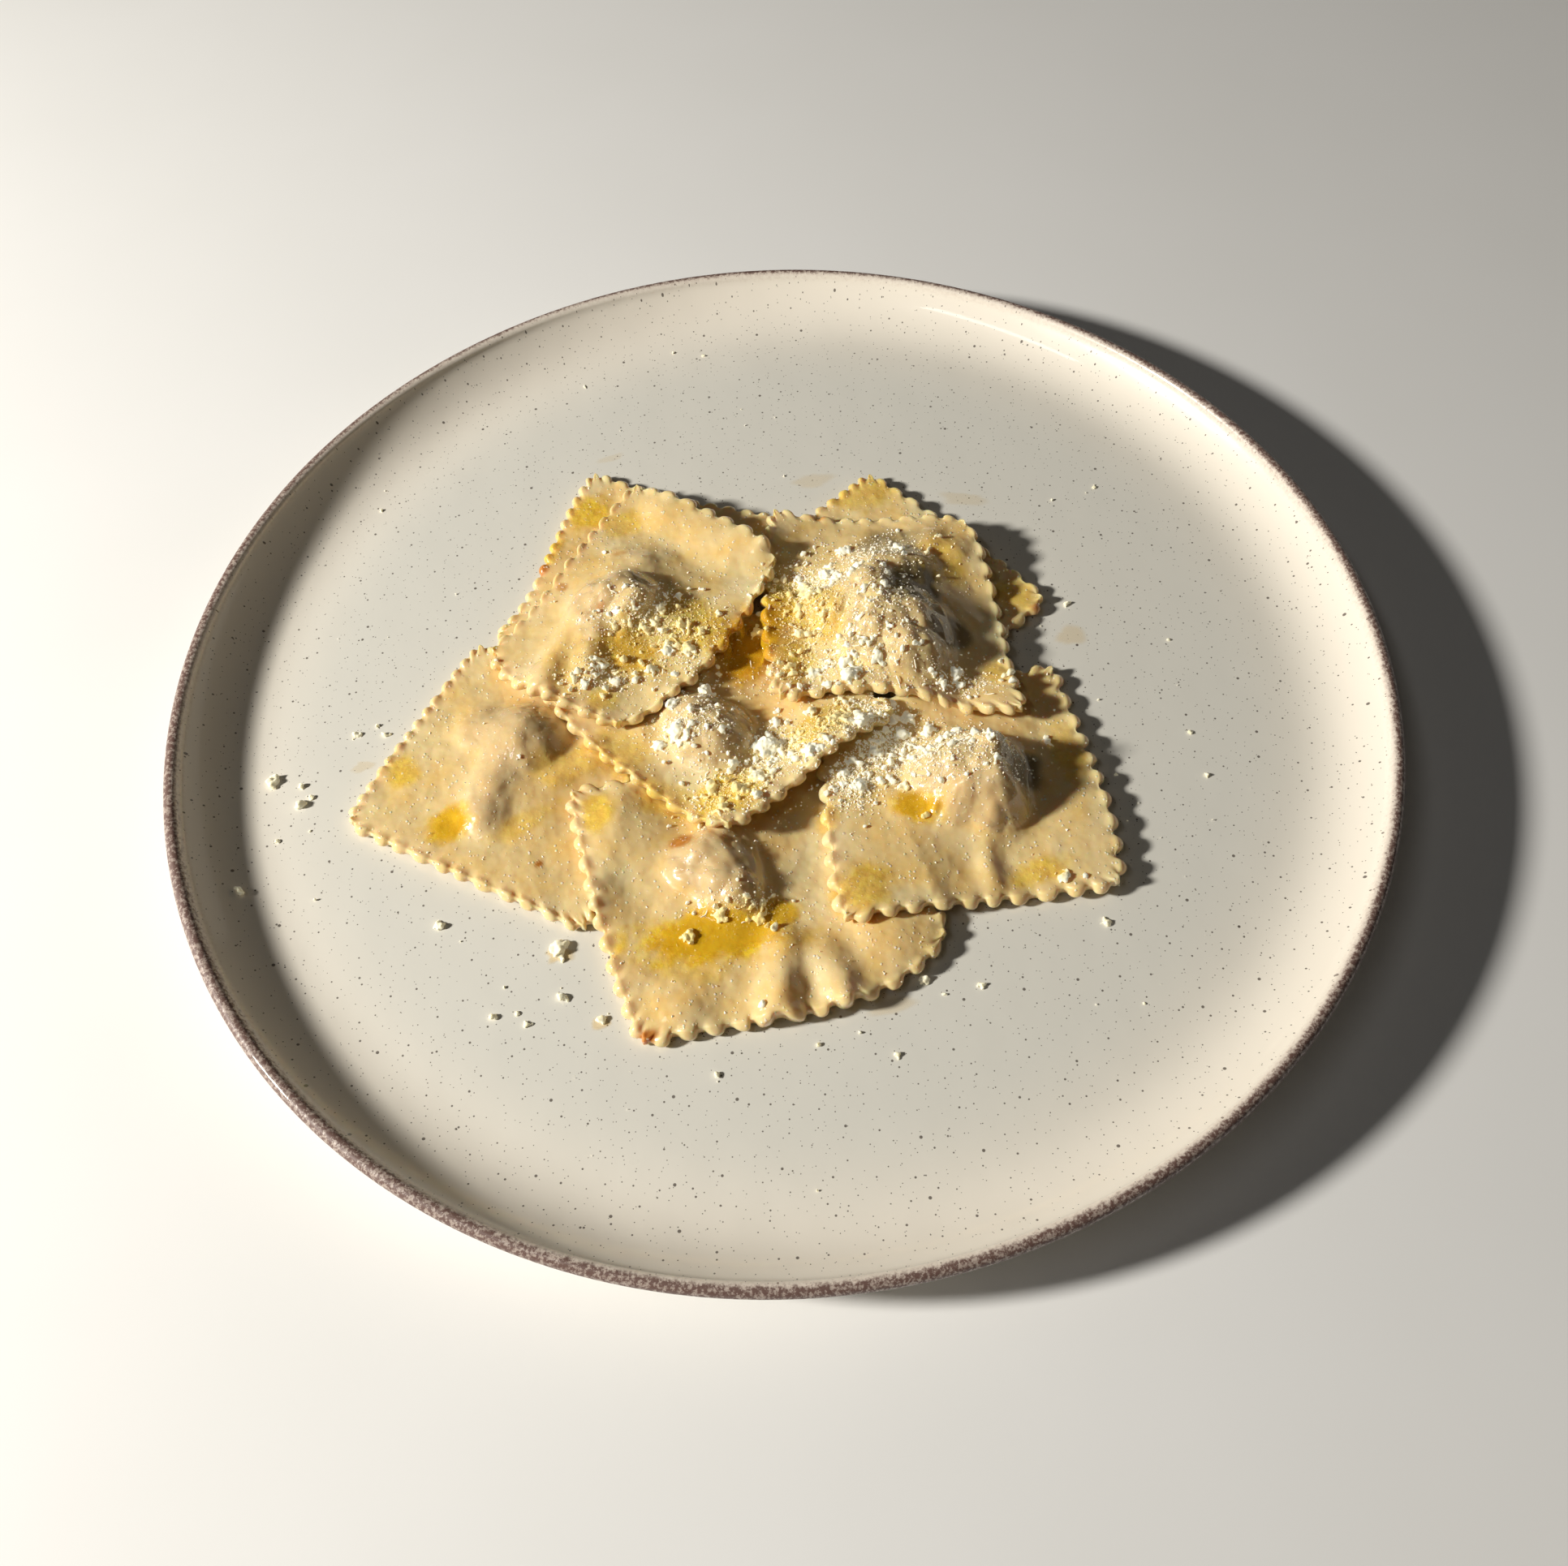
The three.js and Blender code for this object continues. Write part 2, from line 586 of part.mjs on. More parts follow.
// true where a disc lies wholly on one raviolo and no other covers it or comes near
function isFree(x, y, radius, own, above) {
  const cell = (reach, k) => {
    const angle = (2 * Math.PI * k) / CHEESE_DIRECTIONS;
    const column = Math.round(x + reach * Math.cos(angle)) - GRID.x;
    const row = Math.round(y + reach * Math.sin(angle)) - GRID.y;
    return row * GRID.columns + column;
  };
  for (let k = 0; k < CHEESE_DIRECTIONS; k++) {
    if (!own[cell(radius, k)]) return false;
    for (let reach = radius + CHEESE_MARGIN; reach > 0; reach--)
      if (above.some((mask) => mask[cell(reach, k)])) return false;
  }
  return !above.some((mask) => mask[cell(0, 0)]);
}

const wasm = await Module();
wasm.setup();

function toSolid(geometry) {
  return new wasm.Manifold(
    new wasm.Mesh({
      numProp: 3,
      vertProperties: new Float32Array(geometry.getAttribute("position").array),
      triVerts: new Uint32Array(geometry.index.array),
    }),
  );
}

function toGeometry(solid) {
  const mesh = solid.getMesh();
  const geometry = new THREE.BufferGeometry();
  const positions = new THREE.BufferAttribute(new Float32Array(mesh.vertProperties), 3);
  geometry.setAttribute("position", positions);
  geometry.setIndex(new THREE.BufferAttribute(new Uint32Array(mesh.triVerts), 1));
  return geometry;
}

// joins the clumps that lie on one raviolo to it
function withCheese(geometry, name, own, above, surface, random) {
  let solid = toSolid(geometry);
  for (const patch of CHEESE.filter(({ on }) => on === name))
    for (let n = 0; n < patch.count; n++) {
      const angle = 2 * Math.PI * random();
      const reach = Math.sqrt(random());
      const px = patch.x + patch.spread[0] * reach * Math.cos(angle);
      const py = patch.y + patch.spread[1] * reach * Math.sin(angle);
      const clumpSize = patch.size * THREE.MathUtils.lerp(...CHEESE_SIZES, random());
      const clump = makeClump(clumpSize, random);
      if (!isFree(px, py, clumpSize, own, above)) continue;
      clump.translate(px, py, surface.at(px, py) + CHEESE_SUNK * clumpSize);
      solid = solid.add(toSolid(clump));
    }
  // clumps that lean on each other can close a hollow, which is filled
  const whole = solid.decompose().reduce((a, b) => (a.volume() > b.volume() ? a : b));
  return toGeometry(whole);
}

// ---------------------------------------------------------------- assembly
const dish = new THREE.Group();

function addNode(name, geometry, color, roughness) {
  geometry.computeVertexNormals();
  const finish = new THREE.MeshStandardMaterial({ color, roughness, metalness: 0 });
  const mesh = new THREE.Mesh(geometry, finish);
  mesh.name = name;
  dish.add(mesh);
}

addNode("plate", makePlate(), POTTERY, POTTERY_ROUGHNESS);
const surface = new Field((x, y) => plateTop(Math.hypot(x, y)));
const heap = RAVIOLI.map((spec) => ({
  name: spec.name,
  mask: new Footprint(spec).mask(),
  geometry: makeRaviolo(spec, surface),
}));
const random = randomNumbers(SEED);
heap.forEach(({ name, mask, geometry }, k) => {
  const above = heap.slice(k + 1).map((raviolo) => raviolo.mask);
  const dressed = withCheese(geometry, name, mask, above, surface, random);
  addNode(name, dressed, PASTA, PASTA_ROUGHNESS);
});

export default dish;
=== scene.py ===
# %% [markdown]
# # A plate of ravioli
# Eight square ravioli lie in a loose heap on a shallow stoneware plate. They are wet with
# oil, and grated cheese is scattered over the top ones. The lesson makes the plate, then the
# ravioli from the bottom of the heap upwards, then the cheese and the oil.
#
# The solids of the frame fix where everything lies. They are coarse, so each one is replaced
# here by a fine surface worked out from the same sizes.

# %% Load the frame
import math
from itertools import combinations, product

import bpy
import numpy as np
from mathutils import Matrix, Vector
from mathutils.bvhtree import BVHTree


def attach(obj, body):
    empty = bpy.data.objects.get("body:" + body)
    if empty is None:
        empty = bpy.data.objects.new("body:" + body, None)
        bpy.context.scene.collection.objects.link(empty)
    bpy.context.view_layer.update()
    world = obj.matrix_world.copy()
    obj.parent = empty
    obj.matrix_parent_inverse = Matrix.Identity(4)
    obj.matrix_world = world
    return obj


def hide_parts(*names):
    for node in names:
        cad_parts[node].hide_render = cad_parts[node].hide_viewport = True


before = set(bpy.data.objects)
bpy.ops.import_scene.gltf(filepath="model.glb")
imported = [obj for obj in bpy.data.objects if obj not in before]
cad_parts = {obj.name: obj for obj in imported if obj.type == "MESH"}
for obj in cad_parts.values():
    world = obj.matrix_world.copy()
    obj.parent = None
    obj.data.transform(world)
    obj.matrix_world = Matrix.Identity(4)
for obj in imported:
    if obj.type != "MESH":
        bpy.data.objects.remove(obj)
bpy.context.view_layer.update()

MM = 0.001  # every size below is in millimetres, and Blender works in metres
print("frame:", sorted(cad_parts))

# %% [markdown]
# ## Putting numbers into a mesh
# A surface here is a function of two parameters, worked out for the whole grid at once.
# Blender can make a grid by hand, with a primitive and sculpting, but arrays keep every size
# in plain sight and give the same result each run. Two helpers do the plumbing: one numbers
# the faces of a grid, one hands the arrays to Blender.

# %% Mesh helpers
def grid_quads(rows, columns):
    """Faces of a grid whose last column joins its first: each takes two neighbouring points
    of one row and the same two of the next."""
    index = np.arange(rows * columns).reshape(rows, columns)
    index = np.concatenate([index, index[:, :1]], axis=1)
    corners = index[:-1, :-1], index[1:, :-1], index[1:, 1:], index[:-1, 1:]
    return np.stack(corners, axis=-1).reshape(-1, 4)


def add_piece(name, points, face_sets, finish, attributes=None, smooth=True):
    """Adds a mesh, smooth or faceted. points are in millimetres, and each face set is an
    array with one row of point numbers for each face."""
    mesh = bpy.data.meshes.new(name)
    mesh.vertices.add(len(points))
    mesh.vertices.foreach_set("co", (points * MM).ravel())
    corners = np.concatenate([faces.ravel() for faces in face_sets])
    sizes = np.concatenate([np.full(len(faces), faces.shape[1]) for faces in face_sets])
    mesh.loops.add(len(corners))
    mesh.loops.foreach_set("vertex_index", corners)
    mesh.polygons.add(len(sizes))
    mesh.polygons.foreach_set("loop_start", np.concatenate([[0], np.cumsum(sizes)[:-1]]))
    mesh.polygons.foreach_set("use_smooth", np.full(len(sizes), smooth))
    mesh.update(calc_edges=True)
    for label, values in (attributes or {}).items():
        layer = mesh.attributes.new(label, "FLOAT", "POINT")
        layer.data.foreach_set("value", values.ravel())
    mesh.materials.append(finish)
    piece = bpy.data.objects.new(name, mesh)
    bpy.context.scene.collection.objects.link(piece)
    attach(piece, "root")
    return piece


print("a grid of 2 rows and 3 columns has", len(grid_quads(2, 3)), "faces")

# %% [markdown]
# ## Uneven on purpose
# Dough, filling and hand-thrown clay are never even. Random heights on a square lattice,
# blended smoothly between its points, give soft hills of a chosen size. Adding smaller and
# lower hills on top gives a rougher skin. A lattice table is quick and repeats exactly, which
# Blender's own noise functions can't promise for arrays.

# %% Random hills
LATTICE = 128  # points along each side of a table, after which it repeats
FIRST_TURN, MORE_TURN = 0.6, 1.1  # radians from one set of hills to the next
OCTAVE_SHIFT = 40  # mm from one set of hills to the next


def turned(x, y, angle):
    """(x, y) turned about the origin by an angle in radians, from x towards y."""
    return x * np.cos(angle) - y * np.sin(angle), x * np.sin(angle) + y * np.cos(angle)


def hills(x, y, size, seed):
    """Random heights from -1 to 1 on a lattice size mm apart, blended by 3t^2 - 2t^3."""
    table = np.random.default_rng(seed).uniform(-1, 1, (LATTICE, LATTICE))
    column, row = np.floor(x / size), np.floor(y / size)
    s, t = x / size - column, y / size - row
    s, t = s * s * (3 - 2 * s), t * t * (3 - 2 * t)
    i, j = column.astype(int) % LATTICE, row.astype(int) % LATTICE
    i1, j1 = (i + 1) % LATTICE, (j + 1) % LATTICE
    near = table[j, i] * (1 - s) + table[j, i1] * s
    far = table[j1, i] * (1 - s) + table[j1, i1] * s
    return near * (1 - t) + far * t


def rough(x, y, size, seed, octaves=3):
    """Sum of hills, each set half as large and half as high as the one before, and each
    turned a little so that the lattices don't line up."""
    total = 0
    for k in range(octaves):
        u, v = turned(x, y, FIRST_TURN + MORE_TURN * k)
        total = total + hills(u + OCTAVE_SHIFT * k, v, size / 2**k, seed + k) / 2**k
    return total


SAMPLE = rough(*np.meshgrid(np.arange(99.0), np.arange(99.0)), 12.0, 1)
print(f"rough hills from {SAMPLE.min():.2f} to {SAMPLE.max():.2f}")

# %% Knobs and steps
KNOB_REACH = 0.85  # square of a knob's radius, in cells
KNOB_LOW = 0.5  # height of the lowest knob beside the highest
KNOB_COS, KNOB_SIN = 0.8, 0.6  # the knobs' lattice is turned by 37 degrees
KNOB_POWER = 4  # how sharply knobs that meet are kept apart


def knobs(x, y, size, seed):
    """Round knobs from 0 to 1, one to each cell of a lattice size mm apart and anywhere in
    it. Where knobs meet, the fourth root of the sum of their fourth powers rounds the
    crease."""
    aside, along, tall = np.random.default_rng(seed).uniform(0, 1, (3, LATTICE, LATTICE))
    x, y = (KNOB_COS * x - KNOB_SIN * y) / size, (KNOB_SIN * x + KNOB_COS * y) / size
    column, row = np.floor(x).astype(int), np.floor(y).astype(int)
    total = np.zeros(np.shape(x))
    for di, dj in product((-1, 0, 1), repeat=2):
        i, j = (column + di) % LATTICE, (row + dj) % LATTICE
        away2 = (column + di + aside[j, i] - x) ** 2 + (row + dj + along[j, i] - y) ** 2
        height = KNOB_LOW + (1 - KNOB_LOW) * tall[j, i]
        total += (height * np.clip(1 - away2 / KNOB_REACH, 0, 1)) ** KNOB_POWER
    return total ** (1 / KNOB_POWER)


def step(low, high, value):
    """0 below low, 1 above high, and a smooth rise between them."""
    t = np.clip((value - low) / (high - low), 0, 1)
    return t * t * (3 - 2 * t)


print(f"a step is {step(0, 1, 0.25):.2f} a quarter of the way up")

# %% [markdown]
# ## The camera, the light and the floor
# The plate is seen from the diner's side, looking down at 58 degrees with the head tilted a
# little. One lamp, a metre away and low on the left, gives the long soft-edged shadows. It is
# a small disk, so shadows start sharp under an edge and soften as they get longer. A faint
# sky and a weak broad lamp from the far right fill the shadows, and a narrow strip overhead
# puts a sheen on the wet dough.

# %% Camera
CAMERA_HEIGHT, CAMERA_BACK = 283.3, 194.7
LOOK_DOWN = math.radians(58.14)
HEAD_TILT = math.radians(-3.277)
SENSOR = 36.0
LENS = 33.26
NEAREST = 0.01  # metres, closer than any part of the plate

forward = Vector((0, math.cos(LOOK_DOWN), -math.sin(LOOK_DOWN)))
level = Vector((0, math.sin(LOOK_DOWN), math.cos(LOOK_DOWN)))
right = math.cos(HEAD_TILT) * Vector((1, 0, 0)) + math.sin(HEAD_TILT) * level
up = math.cos(HEAD_TILT) * level - math.sin(HEAD_TILT) * Vector((1, 0, 0))
camera = bpy.data.objects.new("camera", bpy.data.cameras.new("camera"))
bpy.context.scene.collection.objects.link(camera)
camera.data.sensor_fit = "HORIZONTAL"
camera.data.sensor_width = SENSOR
camera.data.lens = LENS
camera.data.clip_start = NEAREST
turn = Matrix((right, up, -forward)).transposed().to_4x4()
place = Vector((0, -CAMERA_BACK, CAMERA_HEIGHT)) * MM
camera.matrix_world = Matrix.Translation(place) @ turn
bpy.context.scene.camera = camera
print("camera at", [round(v, 3) for v in place])

# %% Lamps and sky
SKY_COLOUR, SKY_STRENGTH = (1.0, 0.88, 0.74, 1), 0.012
# the way the light goes, distance, diameter of a disk or sides of a rectangle, watts, colour
LAMPS = {
    "key": ((0.842, 0.164, -0.515), 1.1, (0.12,), 17.6, (1.0, 0.96, 0.88)),
    "far_fill": ((-0.72, -0.60, -0.30), 1.5, (1.2, 0.5), 0.8, (1.0, 0.94, 0.84)),
    "strip": ((0.415, 0.246, -0.876), 1.2, (0.42, 0.07), 0.7, (1.0, 0.98, 0.95)),
}


def add_lamp(name, travel, distance, size, power, colour):
    """A soft lamp that shines through the middle of the plate. Lengths are in metres."""
    travel = Vector(travel).normalized()
    data = bpy.data.lights.new(name, "AREA")
    data.shape = "DISK" if len(size) == 1 else "RECTANGLE"
    data.size, data.size_y = size[0], size[-1]
    data.energy, data.color = power, colour
    lamp = bpy.data.objects.new(name, data)
    bpy.context.scene.collection.objects.link(lamp)
    lamp.location = -travel * distance
    lamp.rotation_euler = travel.to_track_quat("-Z", "Y").to_euler()


for lamp_name, lamp_values in LAMPS.items():
    add_lamp(lamp_name, *lamp_values)
world = bpy.data.worlds.new("warm_room")
world.use_nodes = True
sky = world.node_tree.nodes["Background"]
sky.inputs["Color"].default_value = SKY_COLOUR
sky.inputs["Strength"].default_value = SKY_STRENGTH
bpy.context.scene.world = world
bpy.context.scene.view_settings.view_transform = "Standard"
print("lamps:", ", ".join(LAMPS))

# %% [markdown]
# ## Writing a finish
# A material is a graph of nodes, but a formula is easier to read. The class below wraps one
# output of a node, so that plain Python such as `1 - mask` adds a Math node. A Finish holds
# one material and adds any other node by its type, its settings and its inputs.

# %% Shader helpers
MIX_SHARE, MIX_FIRST, MIX_SECOND, MIX_RESULT = 0, 6, 7, 2  # a Mix node's sockets for colours


class Wire:
    """One output socket of a finish, which can be used in a formula."""

    def __init__(self, finish, socket):
        self.finish = finish
        self.socket = socket

    def math(self, operation, first, second=0.0):
        return self.finish.node("ShaderNodeMath", {"operation": operation}, {0: first, 1: second})

    def __add__(self, other):
        return self.math("ADD", self, other)

    def __radd__(self, other):
        return self.math("ADD", other, self)

    def __sub__(self, other):
        return self.math("SUBTRACT", self, other)

    def __rsub__(self, other):
        return self.math("SUBTRACT", other, self)

    def __mul__(self, other):
        return self.math("MULTIPLY", self, other)

    def __rmul__(self, other):
        return self.math("MULTIPLY", other, self)

    def __truediv__(self, other):
        return self.math("DIVIDE", self, other)

    def least(self, other):
        return self.math("MINIMUM", self, other)

    def most(self, other):
        return self.math("MAXIMUM", self, other)

    def step(self, low, high):
        """0 below low, 1 above high, smooth between."""
        settings = {"interpolation_type": "SMOOTHSTEP"}
        return self.finish.node("ShaderNodeMapRange", settings, {0: self, 1: low, 2: high})


class Finish:
    """A material, with the constants that its shader starts from and the place of each
    point, in metres, that its patterns are laid out by."""

    def __init__(self, name, **constants):
        self.material = bpy.data.materials.new(name)
        self.material.use_nodes = True
        self.tree = self.material.node_tree
        self.shader = self.tree.nodes["Principled BSDF"]
        for label, value in constants.items():
            self.shader.inputs[label.replace("_", " ")].default_value = value
        self.place = self.node("ShaderNodeTexCoord", {}, {}, "Object")

    def node(self, kind, settings, inputs, output=0):
        node = self.tree.nodes.new(kind)
        for label, value in settings.items():
            setattr(node, label, value)
        for label, value in inputs.items():
            if isinstance(value, Wire):
                self.tree.links.new(value.socket, node.inputs[label])
            else:
                node.inputs[label].default_value = value
        return Wire(self, node.outputs[output])

    def noise(self, size, detail=2.0, roughness=0.5, place=None):
        """Cloudy values round 0.5, with clouds about size mm across."""
        inputs = {
            "Vector": place or self.place,
            "Scale": 1 / (size * MM),
            "Detail": detail,
            "Roughness": roughness,
        }
        return self.node("ShaderNodeTexNoise", {}, inputs, "Fac")

    def cells(self, size, output="Distance", dimensions="3D"):
        """Distance to the nearest of scattered points about size mm apart, or its colour. In
        two dimensions the points are the same at every height."""
        inputs = {"Vector": self.place, "Scale": 1 / (size * MM)}
        settings = {"voronoi_dimensions": dimensions}
        return self.node("ShaderNodeTexVoronoi", settings, inputs, output)

    def attribute(self, label):
        return self.node("ShaderNodeAttribute", {"attribute_name": label}, {}, "Fac")

    def mix(self, share, first, second):
        """first where share is 0, second where it is 1. Both are colours."""
        first, second = (c if isinstance(c, Wire) else (*c, 1.0) for c in (first, second))
        inputs = {MIX_SHARE: share, MIX_FIRST: first, MIX_SECOND: second}
        return self.node("ShaderNodeMix", {"data_type": "RGBA"}, inputs, MIX_RESULT)

    def bump(self, height, depth):
        """Tilts the shading as if height, from 0 to 1, were depth mm of relief."""
        inputs = {"Height": height, "Distance": depth * MM, "Strength": 1.0}
        self.feed("Normal", self.node("ShaderNodeBump", {}, inputs))

    def feed(self, label, wire):
        self.tree.links.new(wire.socket, self.shader.inputs[label])


print("shader helpers ready")

# %% [markdown]
# ## The floor
# The plate stands on a plain pale surface that runs out of sight. It isn't part of the object, so
# it isn't attached to the root. A faint mottle keeps it from looking like a computer's flat grey.

# %% Floor
FLOOR_HALF = 2.0  # metres
TABLE_DARKER, TABLE_PALER = (0.84, 0.84, 0.83), (0.88, 0.88, 0.88)
MOTTLE_SIZE = 60.0

floor_mesh = bpy.data.meshes.new("table_top")
floor_corners = [(-FLOOR_HALF, -FLOOR_HALF, 0), (FLOOR_HALF, -FLOOR_HALF, 0)]
floor_corners += [(FLOOR_HALF, FLOOR_HALF, 0), (-FLOOR_HALF, FLOOR_HALF, 0)]
floor_mesh.from_pydata(floor_corners, [], [(0, 1, 2, 3)])
floor = bpy.data.objects.new("table_top", floor_mesh)
bpy.context.scene.collection.objects.link(floor)
table = Finish("pale_table", Roughness=0.9)
table.feed("Base Color", table.mix(table.noise(MOTTLE_SIZE), TABLE_DARKER, TABLE_PALER))
floor_mesh.materials.append(table.material)
print("floor:", 2 * FLOOR_HALF, "m square")

# %% [markdown]
# ## The plate
# A shallow coupe plate: a flat floor, a low wall that turns up late, a round lip, and a foot
# ring below. It could be lathed with the Screw modifier. Working out the profile instead
# lets the same formula say how high the floor is under each raviolo. The rim wanders by a
# few tenths of a millimetre, as thrown and dried clay does.

# %% Plate sizes
FLOOR_HEIGHT = 9.0
FLOOR_RADIUS = 112.5
WALL_RADIUS, WALL_HEIGHT, WALL_POWER = 135.0, 18.5, 3.0
LIP_X, LIP_Z, LIP_ROUND = 135.9, 17.6, 1.6  # centre and radius of the lip's round
LIP_FROM, LIP_TO, LIP_POINTS = 173, -60, 17  # degrees, over the lip from inside to outside
FOOT_OUTER, FOOT_INNER, FOOT_ROUND, FOOT_POINTS = 91.2, 86.8, 0.6, 5
FOOT_SLANT = 0.8  # how much narrower the recess is at its top
UNDERSIDE_RISE, UNDERSIDE_POWER, UNDERSIDE_RINGS = 3.6, 3.2, 24
RECESS_HEIGHT = 3.0
RECESS_RINGS = (60.0, 20.0, 1.0)
FLOOR_RINGS = (8, 104, 13)  # first radius, last radius, how many
WALL_RINGS_FROM, WALL_RINGS = 108, 30
PLATE_COLUMNS = 384


def plate_top(radius):
    """Flat out to the wall, then rising with the cube of the way up the wall."""
    climb = np.clip((radius - FLOOR_RADIUS) / (WALL_RADIUS - FLOOR_RADIUS), 0, None)
    return FLOOR_HEIGHT + (WALL_HEIGHT - FLOOR_HEIGHT) * climb**WALL_POWER


def plate_profile():
    """Radius and height of each point, from the middle of the floor over the lip to the
    middle of the underside."""
    lip = np.radians(np.linspace(LIP_FROM, LIP_TO, LIP_POINTS))
    lip_r, lip_z = LIP_X + LIP_ROUND * np.cos(lip), LIP_Z + LIP_ROUND * np.sin(lip)
    wall_r = np.linspace(WALL_RINGS_FROM, lip_r[0], WALL_RINGS)[:-1]
    top_r = np.concatenate([[1.0], np.linspace(*FLOOR_RINGS), wall_r])
    under = np.linspace(1, 0, UNDERSIDE_RINGS)[1:]
    under_r = FOOT_OUTER + (lip_r[-1] - FOOT_OUTER) * under
    under_z = UNDERSIDE_RISE + (lip_z[-1] - UNDERSIDE_RISE) * under**UNDERSIDE_POWER
    quarter = np.radians(np.linspace(0, 90, FOOT_POINTS))
    outer_r = FOOT_OUTER - FOOT_ROUND * (1 - np.cos(quarter))
    outer_z = FOOT_ROUND * (1 - np.sin(quarter))
    inner_r = FOOT_INNER + FOOT_ROUND * (1 - np.sin(quarter))
    inner_z = FOOT_ROUND * (1 - np.cos(quarter))
    recess_r = [FOOT_INNER - FOOT_SLANT, *RECESS_RINGS]
    recess_z = [RECESS_HEIGHT] * len(recess_r)
    radius = np.concatenate([top_r, lip_r, under_r, outer_r, inner_r, recess_r])
    height = np.concatenate([plate_top(top_r), lip_z, under_z, outer_z, inner_z, recess_z])
    return radius, height


print(f"floor {plate_top(0.0):.1f} mm high, wall {plate_top(WALL_RADIUS):.1f} mm")

# %% Plate finish
GLAZE = (0.785, 0.762, 0.692)
GLAZE_COOL = (0.758, 0.750, 0.692)
GLAZE_WALL = (0.920, 0.855, 0.750)
SPECK = (0.085, 0.065, 0.050)
RIM_BROWN = (0.150, 0.085, 0.070)
RIM_PINK = (0.520, 0.390, 0.330)
# mm between specks, radius as a share of that, share of the places left bare
SPECKS = ((5.2, 0.052, 0.20), (3.2, 0.050, 0.30), (2.3, 0.052, 0.45), (12.0, 0.036, 0.20))
SPECK_EDGE, SPECK_DARKNESS = 0.012, 0.85
CLOUD_SIZE = 90.0
WALL_TINT = (100.0, 134.0)  # radius where the glaze starts and ends turning creamier
PINK_EDGE, BROWN_EDGE = (133.2, 135.4), (134.4, 135.6)  # radius where the brushing starts
STROKE_REACH, STROKE_FRAY = 7.0, 2.4  # mm by which its border wanders
STROKE_NOISE, STROKE_SLANT = (0.0065 / MM, 4.0, 0.7), 0.00009
FRAY_NOISE, FRAY_GAPS = (0.8, 3.0, 0.7), (0.38, 0.55)


def stoneware_finish():
    """Pale glaze with dark iron specks, and a brushed brown rim whose strokes run inwards."""
    glaze = Finish("speckled_stoneware", Coat_Roughness=0.05, Coat_IOR=1.5)
    x, y = (glaze.node("ShaderNodeSeparateXYZ", {}, {0: glaze.place}, axis) for axis in "XY")
    radius = glaze.node("ShaderNodeMath", {"operation": "SQRT"}, {0: x * x + y * y}) / MM
    colour = glaze.mix(glaze.noise(CLOUD_SIZE), GLAZE, GLAZE_COOL)
    colour = glaze.mix(radius.step(*WALL_TINT), colour, GLAZE_WALL)
    for size, reach, bare in SPECKS:
        number = glaze.cells(size, "Color", "2D")
        chance = glaze.node("ShaderNodeSeparateColor", {}, {0: number}, "Red")
        here = (chance - bare).step(0.0, 0.05) * reach * (0.5 + 0.5 * chance)
        spot = (here - glaze.cells(size, "Distance", "2D")).step(0.0, SPECK_EDGE)
        colour = glaze.mix(spot * SPECK_DARKNESS, colour, SPECK)
    # strokes: the same place round the rim gives the same value from the edge inwards
    inputs = {0: x / radius, 1: y / radius, 2: radius * STROKE_SLANT}
    around = glaze.node("ShaderNodeCombineXYZ", {}, inputs)
    strokes, fine = glaze.noise(*STROKE_NOISE, around), glaze.noise(*FRAY_NOISE)
    brush = radius + (strokes - 0.5) * STROKE_REACH + (fine - 0.5) * STROKE_FRAY
    pink = brush.step(*PINK_EDGE)
    brown = brush.step(*BROWN_EDGE) * (0.45 + 0.55 * fine.step(*FRAY_GAPS))
    colour = glaze.mix(pink * 0.6, colour, RIM_PINK)
    colour = glaze.mix(brown, colour, RIM_BROWN)
    glaze.feed("Base Color", colour)
    glaze.feed("Roughness", 0.30 + 0.22 * brown + (glaze.noise(14.0) - 0.5) * 0.1)
    glaze.feed("Coat Weight", 0.6 - 0.35 * brown)
    glaze.bump(glaze.noise(22.0, 2.0) + glaze.noise(1.6, 2.0) * 0.04 + brown * strokes * 0.3, 0.25)
    return glaze.material


STONEWARE = stoneware_finish()
print(STONEWARE.name, "has", len(STONEWARE.node_tree.nodes), "nodes")

# %% Plate surface
# waves a turn, height in mm, phase
WANDER_OUT, OUT_MEAN, OUT_SHARE = ((2, 0.5, 0.7), (3, 0.25, 2.1)), 0.5, 0.6
WANDER_UP, UP_MEAN = ((2, 0.22, 2.4), (5, 0.12, 0)), 0.2


def waves_round(angle, waves):
    """Sum of sines of the angle, one for each (waves a turn, height, phase)."""
    return sum(height * np.sin(count * angle + phase) for count, height, phase in waves)


